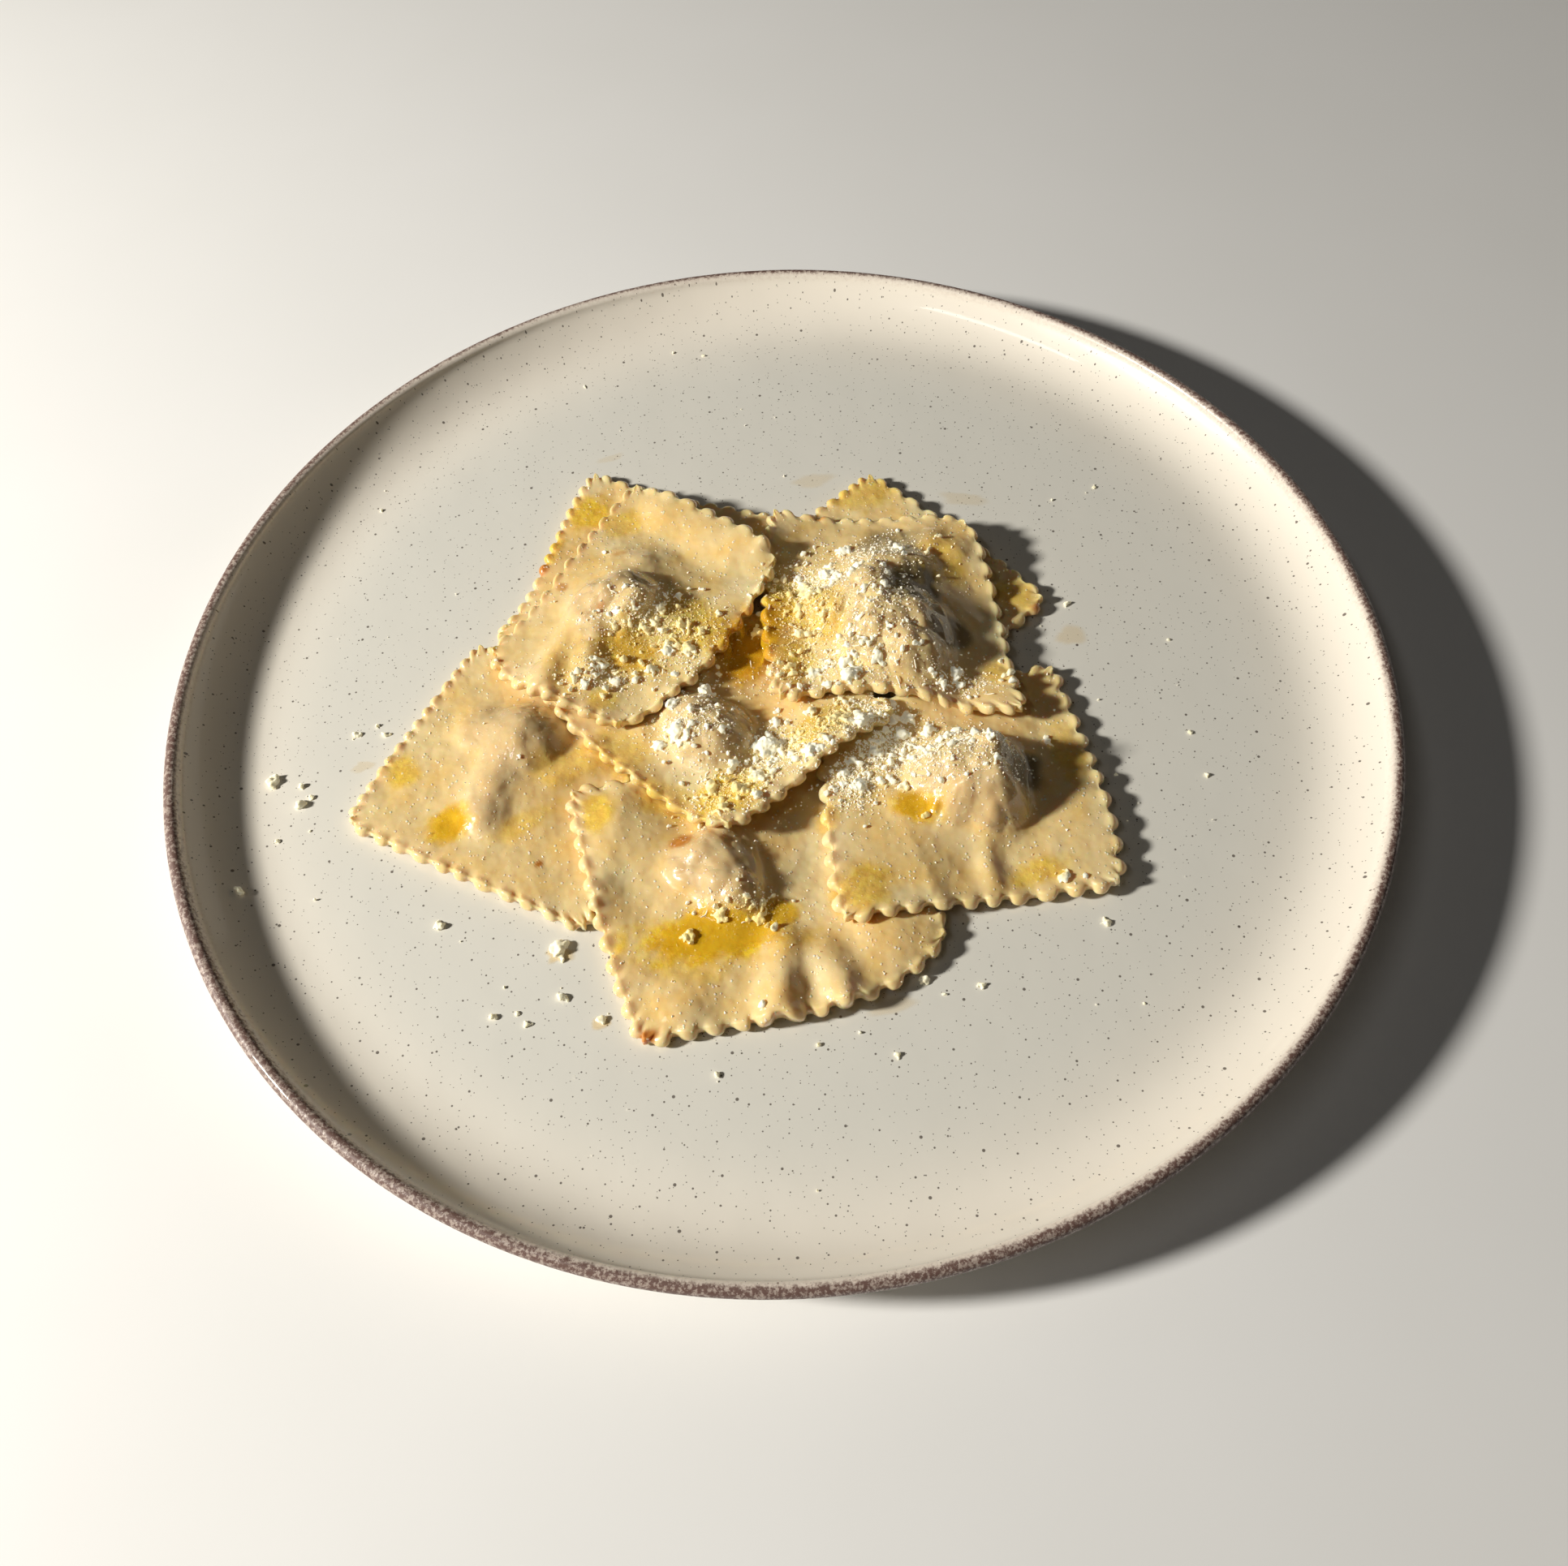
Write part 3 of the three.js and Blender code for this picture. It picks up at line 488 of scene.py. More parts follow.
def make_plate():
    """Each profile point swept round the axis. The wall's radius and height wander with the
    angle, more the nearer they are to the rim."""
    radius, height = plate_profile()
    angle = np.linspace(0, 2 * np.pi, PLATE_COLUMNS, endpoint=False)
    loose = step(FLOOR_RADIUS, WALL_RADIUS, radius)[:, None]
    r = radius[:, None] + loose * OUT_SHARE * (waves_round(angle, WANDER_OUT) - OUT_MEAN)
    z = height[:, None] + loose * (waves_round(angle, WANDER_UP) - UP_MEAN)
    points = np.stack([r * np.cos(angle), r * np.sin(angle), z], axis=-1).reshape(-1, 3)
    middles = np.array([[0, 0, FLOOR_HEIGHT], [0, 0, RECESS_HEIGHT]])
    count, last = len(points), (len(radius) - 1) * PLATE_COLUMNS
    ring = np.arange(PLATE_COLUMNS)
    following = np.roll(ring, -1)
    top_fan = np.stack([np.full_like(ring, count), ring, following], axis=-1)
    base_fan = np.stack([np.full_like(ring, count + 1), last + following, last + ring], axis=-1)
    faces = [grid_quads(len(radius), PLATE_COLUMNS), top_fan, base_fan]
    points = np.vstack([points, middles])
    plate = add_piece("stoneware_plate", points, faces, STONEWARE)
    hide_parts("plate")
    print("plate:", len(points), "points, foot ring", FOOT_INNER, "to", FOOT_OUTER, "mm")


make_plate()

# %% [markdown]
# ## Where the ravioli lie
# Each raviolo is a square of two pressed layers of dough with a spoonful of filling between
# them, cut out with a fluted wheel. The plan gives its four corners clockwise from the far
# left one, how far each side bows out near its start and near its end, how many teeth the
# wheel left on each side, and how deep they are. The relief gives the lumps that the filling
# lifts and the folds of the dough, and the lifts raise the underside as well. knobbly is how
# far the grain of the filling shows, where 1 is usual. The list runs from the bottom of the
# heap to the top.

# %% Plan of the heap
SHEET = 2.3  # two layers of dough pressed together
GAP = 0.4  # left open between a raviolo and what it lies on


def lump(x, y, width, height, power=1.2):
    """A round rise: height times (1 - (distance / width)^2) to the given power."""
    return (x, y, x, y, width, height, power)


def ridge(x1, y1, x2, y2, width, height, power=2.0):
    """The same rise, measured from a line between two points."""
    return (x1, y1, x2, y2, width, height, power)


RAVIOLI = {
    "raviolo_back_left": dict(
        corners=[(-44, 73), (4, 52.5), (-17.5, 1), (-69, 19)],
        bows=[(-5.5, 0), (0, 0), (0, 0), (-7.5, 3.5)],
        teeth=(11, 11, 11, 15),
        tooth_depth=1.55,
        relief=[lump(-33, 27, 15, 5)],
        lifts=[],
    ),
    "raviolo_left": dict(
        corners=[(-98.5, -29.5), (-70, 19.5), (-30, -10.5), (-42, -61)],
        bows=[(0.5, 1.5), (0, 0), (0, 0), (0, 1)],
        teeth=(15, 11, 11, 12),
        tooth_depth=1.1,
        knobbly=0.35,
        relief=[
            lump(-58, -11.5, 11, 6.8, 0.9),
            lump(-67, -8, 9, 3.2, 1.2),
            ridge(-63, -19, -65.5, -30, 7.5, 3.8, 1.4),
            lump(-60, -16, 22, 2.2, 1.6),
            ridge(-50, -21.5, -42, -17.5, 6, 2.2),
        ],
        lifts=[],
    ),
    "raviolo_back_right": dict(
        corners=[(26, 67), (66.5, 21.5), (29.5, -9), (-9, 34.5)],
        bows=[(0, 2.5), (0.5, 0), (0, 0), (3, -0.5)],
        teeth=(11, 9, 11, 13),
        tooth_depth=1.7,
        relief=[lump(28, 26, 15, 5)],
        lifts=[],
    ),
    "raviolo_front": dict(
        corners=[(-49, -25.5), (18, -14), (33.5, -64.5), (-32, -87)],
        bows=[(-1.5, 0), (0, 0), (17, 0), (3, 1)],
        teeth=(12, 11, 13, 13),
        tooth_depth=1.55,
        relief=[
            ridge(-14.5, -44, -13, -51, 8.5, 6.2, 0.9),
            lump(-20, -46, 8, 5, 1.1),
            lump(-9.5, -55.5, 5, 3.4),
            lump(-15.5, -46, 20, 2.4, 1.6),
            ridge(-1.5, -66, -3.5, -82, 7, 2.4),
            ridge(6.5, -68, 11, -79, 6.5, 2.2),
            lump(20, -64, 11, 1.8, 1.8),
            lump(-23, -77, 9, 1.8, 1.8),
        ],
        lifts=[
            lump(-33, -37, 12, 2, 1.5),
            ridge(27, -65, 13, -79, 16, 0.9, 1.5),
            ridge(-3, -76, -4, -86, 7, 1.4),
            ridge(9, -74, 11, -84, 6, 1.6),
        ],
    ),
    "raviolo_right": dict(
        corners=[(5.5, -9), (65, 4), (70.5, -57.5), (9.5, -64)],
        bows=[(0, 0), (0, 5.5), (-1.5, -2), (3, -2.5)],
        teeth=(11, 11, 11, 10),
        tooth_depth=1.9,
        knobbly=1.35,
        relief=[
            lump(41, -28.5, 11.5, 10.6, 0.5),
            lump(33, -27.5, 7, 7.4, 0.9),
            lump(36.5, -35.5, 6, 6.8, 0.9),
            lump(45, -35.5, 7.5, 10.2, 0.6),
            lump(45.5, -25.5, 6.5, 10.4, 0.6),
            lump(39.5, -29, 21, 4, 1.6),
            ridge(41.5, -40, 42.5, -54, 3.2, 2, 1.6),
        ],
        lifts=[ridge(69, -54.5, 67.5, -31.5, 20, 1.4, 1.5)],
    ),
    "raviolo_middle": dict(
        corners=[(-56.5, 2.5), (-13, 31), (28, -12), (-12, -43)],
        bows=[(0, 0), (0, 0), (-2, 0), (4, 5.5)],
        teeth=(12, 12, 10, 12),
        tooth_depth=1.55,
        relief=[
            lump(-16, -14, 10.5, 6.8, 0.8),
            lump(-20, -8.5, 8, 5, 1),
            lump(-14, -19.5, 6, 4, 1),
            lump(-17, -13.5, 18, 2.2, 1.6),
        ],
        lifts=[ridge(-4, -36, 14, -24, 13, 3.4, 1.5)],
    ),
    "raviolo_top_right": dict(
        corners=[(0, 54), (48, 43.5), (56, -15.5), (-1.5, -10)],
        bows=[(-5.5, 3.5), (5.5, -1), (-1.5, -8.5), (4, 2.5)],
        teeth=(10, 11, 12, 12),
        tooth_depth=1.7,
        knobbly=1.5,
        relief=[
            lump(28, 8, 12.5, 8.8, 0.5),
            lump(31.5, 1, 6.5, 6.4, 0.7),
            lump(20.5, 6, 7.5, 6.6, 0.9),
            lump(21, 18, 9, 7.4, 0.8),
            lump(12, 18, 8, 4.4, 1),
            lump(26, 13, 25, 5, 1.6),
            lump(38, 36, 6, 2, 1.8),
            lump(44, 33, 5, 1.8, 1.8),
        ],
        lifts=[
            lump(47.5, 40, 20, 3.2, 1.5),
            lump(31, -13.5, 12, 2.2, 1.5),
            lump(53, -13, 13, 3, 1.5),
            ridge(0, 20, -1, -6, 9, 2.6, 1.5),
        ],
    ),
    "raviolo_top_left": dict(
        corners=[(-32.5, 65), (3, 33), (-37, -13.5), (-68.5, 14)],
        bows=[(-0.5, 4.5), (4.5, 10), (1.5, 9), (-6, 3)],
        teeth=(8, 11, 9, 12),
        tooth_depth=1.7,
        relief=[
            lump(-34.5, 22, 7.5, 5.2, 0.5),
            lump(-42, 20.5, 8, 4.6, 1),
            lump(-36, 13, 5, 2.4, 1.2),
            ridge(-42, 13, -43.5, 2, 5.5, 2.8, 1.3),
            ridge(-47, 17, -53, 1, 5.5, 2.8, 1.6),
            lump(-38, 14, 20, 1.2, 1.6),
        ],
        lifts=[ridge(-8, 42, -20, 53, 13, 4.2, 1.5), lump(-13, 11, 17, 0.8, 1.5)],
    ),
}
sides = []
for spec in RAVIOLI.values():
    following_corners = spec["corners"][1:] + spec["corners"][:1]
    sides += [math.dist(p, q) for p, q in zip(spec["corners"], following_corners)]
print(f"{len(RAVIOLI)} ravioli with sides of {min(sides):.0f} to {max(sides):.0f} mm")

# %% Relief and outline
def rise(x, y, feature):
    """Height of one lump or ridge at (x, y)."""
    x1, y1, x2, y2, width, height, power = feature
    dx, dy = x2 - x1, y2 - y1
    length2 = dx * dx + dy * dy
    t = 0.0
    if length2:
        t = np.clip(((x - x1) * dx + (y - y1) * dy) / length2, 0, 1)
    away = np.hypot(x - x1 - t * dx, y - y1 - t * dy) / width
    return height * np.clip(1 - away * away, 0, None) ** power


def relief(x, y, features):
    """The features melted together: the cube root of the sum of their cubes."""
    if not features:
        return np.zeros(np.shape(x))
    return np.cbrt(sum(rise(x, y, feature) ** 3 for feature in features))


def outwards(start, end):
    """Unit vector to the left of the way from start to end, which is out of the raviolo."""
    along = (end - start) / np.linalg.norm(end - start)
    return np.array([-along[1], along[0]])


def bowed(t, bow):
    """Bezier bow: 3t(1-t)^2 times the first number plus 3t^2(1-t) times the second."""
    return 3 * t * (1 - t) ** 2 * bow[0] + 3 * t * t * (1 - t) * bow[1]


def plan_point(spec, u, v):
    """The four corners blended by u and v, plus each side's bow faded to the far side."""
    a, b, c, d = np.array(spec["corners"], dtype=float)
    u, v = np.asarray(u)[..., None], np.asarray(v)[..., None]
    flat = (1 - u) * (1 - v) * a + u * (1 - v) * b + u * v * c + (1 - u) * v * d
    flat = flat + bowed(u, spec["bows"][0]) * (1 - v) * outwards(a, b)
    flat = flat + bowed(v, spec["bows"][1]) * u * outwards(b, c)
    flat = flat + bowed(1 - u, spec["bows"][2]) * v * outwards(c, d)
    return flat + bowed(1 - v, spec["bows"][3]) * (1 - u) * outwards(d, a)


def on_side(t):
    """(u, v) of points that run round the outline: t from 0 to 4, one unit a side."""
    side, t = np.floor(t).astype(int) % 4, t % 1
    u = np.choose(side, [t, np.ones_like(t), 1 - t, np.zeros_like(t)])
    v = np.choose(side, [np.zeros_like(t), t, np.ones_like(t), 1 - t])
    return u, v


OUTLINE_STEPS = np.arange(64) / 16  # sixteen points a side
front_outline = plan_point(RAVIOLI["raviolo_front"], *on_side(OUTLINE_STEPS))
front_width, front_depth = np.ptp(front_outline, axis=0)
print(f"the front raviolo covers {front_width:.0f} x {front_depth:.0f} mm")

# %% [markdown]
# ## Draping
# A raviolo is soft. It hugs what is below it and bridges the hollows, so its underside is a
# taut skin over the heap so far. Cloth simulation would do this too, but it can't promise
# the same rest for eight sheets on each other. Here the heap is a height field, and each
# point of the skin moves towards the mean of its neighbours and never sinks below the heap.
# Coarse passes first let the tension reach right across the sheet quickly.

# %% Height fields
GRID_X, GRID_Y = np.arange(-120.0, 96.0), np.arange(-100.0, 101.0)  # a cell is 1 mm wide
WORLD_X, WORLD_Y = np.meshgrid(GRID_X, GRID_Y)
DRAPE_PASSES = ((4, 80), (2, 140), (1, 240))  # cells to the neighbour, how many times
PULL = 0.65  # share of the way to the neighbours' mean that a point moves
SAG = 0.004  # mm sunk each time at a reach of one cell, growing with the reach's square
SPREAD_RINGS = 6


def shifted(field, reach):
    """The field moved by reach cells each way along both axes."""
    moves = ((0, reach), (0, -reach), (1, reach), (1, -reach))
    return [np.roll(field, distance, axis=axis) for axis, distance in moves]


def drape(support, inside):
    """Repeats: new = (1 - pull) old + pull times the mean of the four neighbours - a little
    sag, and at least the support."""
    z = support.copy()
    for reach, repeats in DRAPE_PASSES:
        count = sum(shifted(inside.astype(float), reach))
        held = inside & (count > 0)
        for _ in range(repeats):
            total = sum(shifted(np.where(inside, z, 0), reach))
            pulled = (1 - PULL) * z + PULL * total / np.maximum(count, 1) - SAG * reach * reach
            z = np.where(held, np.maximum(support, pulled), z)
    return z


def blurred(field):
    """1-2-1 smoothing along both axes."""
    for axis in (0, 1):
        field = (np.roll(field, 1, axis) + 2 * field + np.roll(field, -1, axis)) / 4
    return field


def spread(field, inside):
    """Gives cells outside the mask the mean of their known neighbours, ring by ring."""
    known = inside.astype(float)
    for _ in range(SPREAD_RINGS):
        total = sum(shifted(np.where(known > 0, field, 0), 1))
        count = sum(shifted(known, 1))
        field = np.where((known == 0) & (count > 0), total / np.maximum(count, 1), field)
        known = np.where(count > 0, 1.0, known)
    return field


POST_HEIGHT, POST_RADIUS, SKIN_RADIUS = 10.0, 5, 20
from_middle = np.hypot(WORLD_X, WORLD_Y)
post = np.where(from_middle < POST_RADIUS, POST_HEIGHT, 0.0)
tent = drape(post, from_middle < SKIN_RADIUS)
beside = tent[(from_middle >= POST_RADIUS) & (from_middle < SKIN_RADIUS)]
print(f"round a post {POST_HEIGHT} mm high a skin stands {beside.mean():.1f} mm high")

# %% Reading a field
def spline_weights(t):
    """The four weights of a uniform cubic B-spline."""
    w0, w3 = (1 - t) ** 3, t**3
    w1 = 3 * t**3 - 6 * t**2 + 4
    return w0 / 6, w1 / 6, (6 - w0 - w1 - w3) / 6, w3 / 6


def read_field(field, x, y):
    """Cubic B-spline reading of the field, so that no grid line shows in the gloss."""
    column, row = np.floor(x - GRID_X[0]).astype(int), np.floor(y - GRID_Y[0]).astype(int)
    across, along = spline_weights(x - GRID_X[column]), spline_weights(y - GRID_Y[row])
    total = 0
    for j in range(4):
        for i in range(4):
            total = total + along[j] * across[i] * field[row + j - 1, column + i - 1]
    return total


def footprint(spec):
    """True at the grid points inside the outline, by counting crossings of its edges."""
    outline = plan_point(spec, *on_side(OUTLINE_STEPS))
    inside = np.zeros(WORLD_X.shape, dtype=bool)
    for p, q in zip(outline, np.roll(outline, -1, axis=0)):
        crosses = (p[1] > WORLD_Y) != (q[1] > WORLD_Y)
        rise_y = q[1] - p[1] if q[1] != p[1] else 1.0
        inside ^= crosses & (WORLD_X < p[0] + (WORLD_Y - p[1]) * (q[0] - p[0]) / rise_y)
    return inside


print("the front raviolo covers", footprint(RAVIOLI["raviolo_front"]).sum(), "square mm")

# %% [markdown]
# ## The skin of boiled dough
# The filling is a coarse paste, and the boiled dough clings to it, so it shows as lumps of all
# sizes. The flange round it is smoother, with slow waves. Where air was caught over the filling
# the dough stands off as a thin film with fine wrinkles. These fields of (x, y) are shared by the
# shape and by the colour, so that a dark film is also a wrinkled one. The films' dark grey is
# partly the thin dough over air and partly painted shade.

# %% Filling and films
FILLING_POWER = 1.5  # features of a lower power are filling, gentler ones are folds
FILLING_EDGE = (0.8, 3.0)  # mm of rise where the filling starts and where it is full
# x, y, radius, strength
# a film's strength also sets how far its dark grey covers, which is partly painted shade
FILMS_AND_SHADE = [(33, 19.5, 8.5, 1), (28, 35, 9, 0.75), (39.5, 8, 6.5, 0.9), (52, -28, 7, 1)]
FILMS_AND_SHADE += [(-34, 25, 5.5, 0.3)]
FILM_EDGE = (0.55, 1.0)  # share of the radius where the film starts to end and has ended
FILM_WAVE, FILM_WAVE_SIZE, FILM_SEED = 0.18, 4.0, 71


def filling_share(x, y, spec):
    """1 on top of the filling, 0 on the flange."""
    lumps = [feature for feature in spec["relief"] if feature[-1] < FILLING_POWER]
    return step(*FILLING_EDGE, relief(x, y, lumps))


def film_and_shade_share(x, y):
    """The strength of an air pocket in its middle, 0 outside, with a wavy border. The same share
    lays the films' dark grey, which is partly painted shade.
    """
    wave = FILM_WAVE * hills(x, y, FILM_WAVE_SIZE, FILM_SEED)
    shares = [
        strength * (1 - step(*FILM_EDGE, np.hypot(x - a, y - b) / radius + wave))
        for a, b, radius, strength in FILMS_AND_SHADE
    ]
    return np.maximum.reduce(shares)


pocket = film_and_shade_share(WORLD_X, WORLD_Y)
print(f"air pockets cover {(pocket > 0.5).sum()} square mm")

# %% Skin relief
# height and size in mm
WAVES = ((0.30, 12.0), (0.10, 4.0))
KNOBS = ((1.7, 5.2), (0.6, 2.6))
KNOBS_MEAN = 0.9
CREASES, CREASE_SIZE, CREASE_LEVEL = 0.35, 3.2, 0.25
CREASE_SQUEEZE, CREASE_SLANT = 0.45, 0.3  # shares of y and x, which draw the creases out
KNOBS_IN_FILM = 0.3


def skin(x, y, spec, seed):
    """Millimetres added to the top: slow waves everywhere, knobs on the filling, and thin
    wrinkles, which are the creases of folded noise, on the films."""
    filling = filling_share(x, y, spec)
    film_and_shade = film_and_shade_share(x, y)
    (wave, wave_size), (ripple, ripple_size) = WAVES
    waves = wave * rough(x, y, wave_size, seed) + ripple * rough(x, y, ripple_size, seed + 7)
    (knob, knob_size), (bead, bead_size) = KNOBS
    lumps = knob * knobs(x, y, knob_size, seed + 13) + bead * knobs(x, y, bead_size, seed + 17)
    lumps = (lumps - KNOBS_MEAN) * spec.get("knobbly", 1.0)
    # creases stand up where the noise passes through 0
    aslant = CREASE_SQUEEZE * y + CREASE_SLANT * x
    creases = CREASE_LEVEL - np.abs(rough(x, aslant, CREASE_SIZE, seed + 23, 2))
    in_film = CREASES * creases + KNOBS_IN_FILM * filling * lumps
    return waves + filling * (1 - film_and_shade) * lumps + film_and_shade * in_film


front_skin = skin(WORLD_X, WORLD_Y, RAVIOLI["raviolo_front"], 220)
print(f"the skin of the front raviolo: {front_skin.min():.1f} to {front_skin.max():.1f} mm")

# %% [markdown]
# ## One raviolo as a closed surface
# The grid's columns run round the outline and its rows run from the middle of the top, over
# the rim, to the middle of the bottom. Columns are counted in teeth, so each tooth gets the
# same number. Near the rim the rows lie close together, to round the edge. A Subdivision
# Surface on a cage would round it too, but it would pull the teeth in.

# %% Raviolo surface
COLUMNS_PER_TOOTH = 14
CROWN_SHARE = 0.62  # of the way from a crown to the next notch
FLANK = math.radians(74)  # steepest slope between them
HALF_WIDTH = 29.0  # middle to rim
EDGE_ROUND = 1.4
TOOTH_REACH = 3.0  # how far in from the rim the teeth still show
SQUARE_REACH = 4.5  # how far in the columns still run square to the rim
CORNER_BLEND = (1.0, 8.0)  # from a corner, where they start and finish doing so
TOOTH_FADE = 1.5
TOOTH_SHIFT, TOOTH_DEPTHS = 0.1, (0.75, 1.15)  # how teeth differ in place and in depth
CORNER_PULL, CORNER_WIDTH = 1.7, 2.2  # how far a corner is rounded off, and how widely
PLUMP, PLUMP_AT, PLUMP_WIDTH = 0.55, 1.2, 1.1  # crowns swell just in from the rim
GROOVE, GROOVE_AT, GROOVE_WIDTH = 0.30, 1.3, 1.2  # and notches run on as grooves
SKIN_EDGE, RIM_EDGE = (0.0, 3.0), (0.5, 6.0)  # mm in from the rim
FILLING_BELOW = 0.3  # how far the filling shows through the underside
EDGE_ROWS = [0.0, 0.08, 0.22, 0.42, 0.68, 1.0, 1.4, 1.9, 2.5, 3.1, 3.7, 4.3]
INNER_FROM, INNER_TO, INNER_STEP = 4.85, HALF_WIDTH - 0.3, 0.52
TOP_ROWS = np.concatenate([EDGE_ROWS, np.arange(INNER_FROM, INNER_TO, INNER_STEP)])
BOTTOM_ROWS = np.array([0.08, 0.22, 0.42, 0.68, 1.0, 1.6, 2.6, 4.3, 7, 10, 14, 18, 22, 26])


def tooth_inset(away):
    """How far in the rim lies, from 0 at a crown (away 0) to 1 in a notch (away 1). Two arcs
    meet at the same slope: a wide one for the crown and a narrow one for the notch."""
    wide = np.clip(away, 0, CROWN_SHARE) / CROWN_SHARE
    narrow = np.clip(1 - away, 0, 1 - CROWN_SHARE) / (1 - CROWN_SHARE)
    sine, drop = math.sin(FLANK), 1 - math.cos(FLANK)
    crown = CROWN_SHARE * (1 - np.sqrt(1 - (sine * wide) ** 2)) / drop
    valley = 1 - (1 - CROWN_SHARE) * (1 - np.sqrt(1 - (sine * narrow) ** 2)) / drop
    return np.where(away < CROWN_SHARE, crown, valley)


def outline_columns(teeth, seed):
    """For each column: how far round the outline it is, and how deep into a notch. The
    teeth's widths and depths vary."""
    rng = np.random.default_rng(seed)
    where, notch, depth = [], [], []
    for side, count in enumerate(teeth):
        t = np.arange(count * COLUMNS_PER_TOOTH) / (count * COLUMNS_PER_TOOTH)
        shifts = np.r_[0, rng.normal(0, TOOTH_SHIFT, count - 1), 0]
        stray = np.interp(t, np.linspace(0, 1, count + 1), shifts)
        where.append(side + t + stray * np.sin(np.pi * t) / count)
        notch.append(tooth_inset(1 - np.abs(1 - 2 * (t * count % 1))))
        depth.append(rng.uniform(*TOOTH_DEPTHS, count).repeat(COLUMNS_PER_TOOTH))
    depth = np.concatenate(depth)
    kernel, half = np.ones(COLUMNS_PER_TOOTH) / COLUMNS_PER_TOOTH, COLUMNS_PER_TOOTH // 2
    depth = np.convolve(np.r_[depth[-half:], depth, depth[: half - 1]], kernel, "valid")
    return np.concatenate(where), np.concatenate(notch) * depth


def raviolo_surface(spec, under, bumps, seed):
    """Points of the closed grid, and the fields that the finish reads."""
    where, notch = outline_columns(spec["teeth"], seed)
    rim_u, rim_v = on_side(where)
    a, b, c, d = np.array(spec["corners"], dtype=float)
    width = (np.linalg.norm(b - a) + np.linalg.norm(c - d)) / 2
    depth = (np.linalg.norm(d - a) + np.linalg.norm(c - b)) / 2
    rows = np.concatenate([TOP_ROWS[::-1], BOTTOM_ROWS])
    is_top = np.arange(len(rows)) < len(TOP_ROWS)
    inward = rows[:, None] / HALF_WIDTH
    u = 0.5 + (rim_u - 0.5) * (1 - inward)
    v = 0.5 + (rim_v - 0.5) * (1 - inward)

    # near the rim the columns run square to it, except close to a corner
    side, t = np.floor(where).astype(int) % 4, where % 1
    from_corner = np.minimum(t, 1 - t) * np.where(side % 2 == 0, width, depth)
    square = inward * np.exp(-((rows[:, None] / SQUARE_REACH) ** 2))
    square = square * step(*CORNER_BLEND, from_corner)
    u = u + (rim_u - 0.5) * square * (side % 2 == 0)
    v = v + (rim_v - 0.5) * square * (side % 2 == 1)

    # teeth push the rim inwards, and so do the rounded corners
    fade = np.clip(1 - rows[:, None] / TOOTH_REACH, 0, 1) ** TOOTH_FADE
    inset = spec["tooth_depth"] * notch * fade
    v = v + inset / depth * np.choose(side, [1, 0, -1, 0])
    u = u + inset / width * np.choose(side, [0, -1, 0, 1])
    pull = CORNER_PULL * np.exp(-((from_corner / CORNER_WIDTH) ** 2)) * fade
    u = u + pull / width * np.where(rim_u < 0.5, 1, -1)
    v = v + pull / depth * np.where(rim_v < 0.5, 1, -1)

    flat = plan_point(spec, u, v)
    x, y = flat[..., 0], flat[..., 1]
    base = read_field(under, x, y)
    close = np.clip(rows[:, None] / EDGE_ROUND, 0, 1)
    half = SHEET / 2 * np.sqrt(1 - (1 - close) ** 2)
    plump = PLUMP * (1 - notch) * np.exp(-(((rows[:, None] - PLUMP_AT) / PLUMP_WIDTH) ** 2))
    groove = GROOVE * notch * np.exp(-(((rows[:, None] - GROOVE_AT) / GROOVE_WIDTH) ** 2))
    steady = step(*SKIN_EDGE, rows[:, None])
    top = base + SHEET / 2 + half + read_field(bumps, x, y) + steady * skin(x, y, spec, seed)
    top = top + (plump - groove) * close
    z = np.where(is_top[:, None], top, base + SHEET / 2 - half)
    fields = {
        "filling": np.where(is_top[:, None], filling_share(x, y, spec), FILLING_BELOW),
        # the films' dark grey, partly painted shade, follows this field
        "film_and_shade": np.where(is_top[:, None], film_and_shade_share(x, y), 0.0),
        "rim": np.broadcast_to(1 - step(*RIM_EDGE, rows[:, None]), x.shape),
    }
    return np.stack([x, y, z], axis=-1), fields


print(len(TOP_ROWS) + len(BOTTOM_ROWS), "rows,", COLUMNS_PER_TOOTH, "columns to a tooth")

# %% [markdown]
# ## Where the oil and the browned spots are
# Oil gathers in the hollows and stains the dough golden. A few spots of browned butter or crust
# are orange-brown. The last of them is no browned spot but painted light: the orange glow of light
# passed through the dough into the gap between two ravioli. They are listed by place and size, and
# their borders are broken up with noise. The same fields colour the dough, and the oil's field
# later tints the cheese that lies in it.

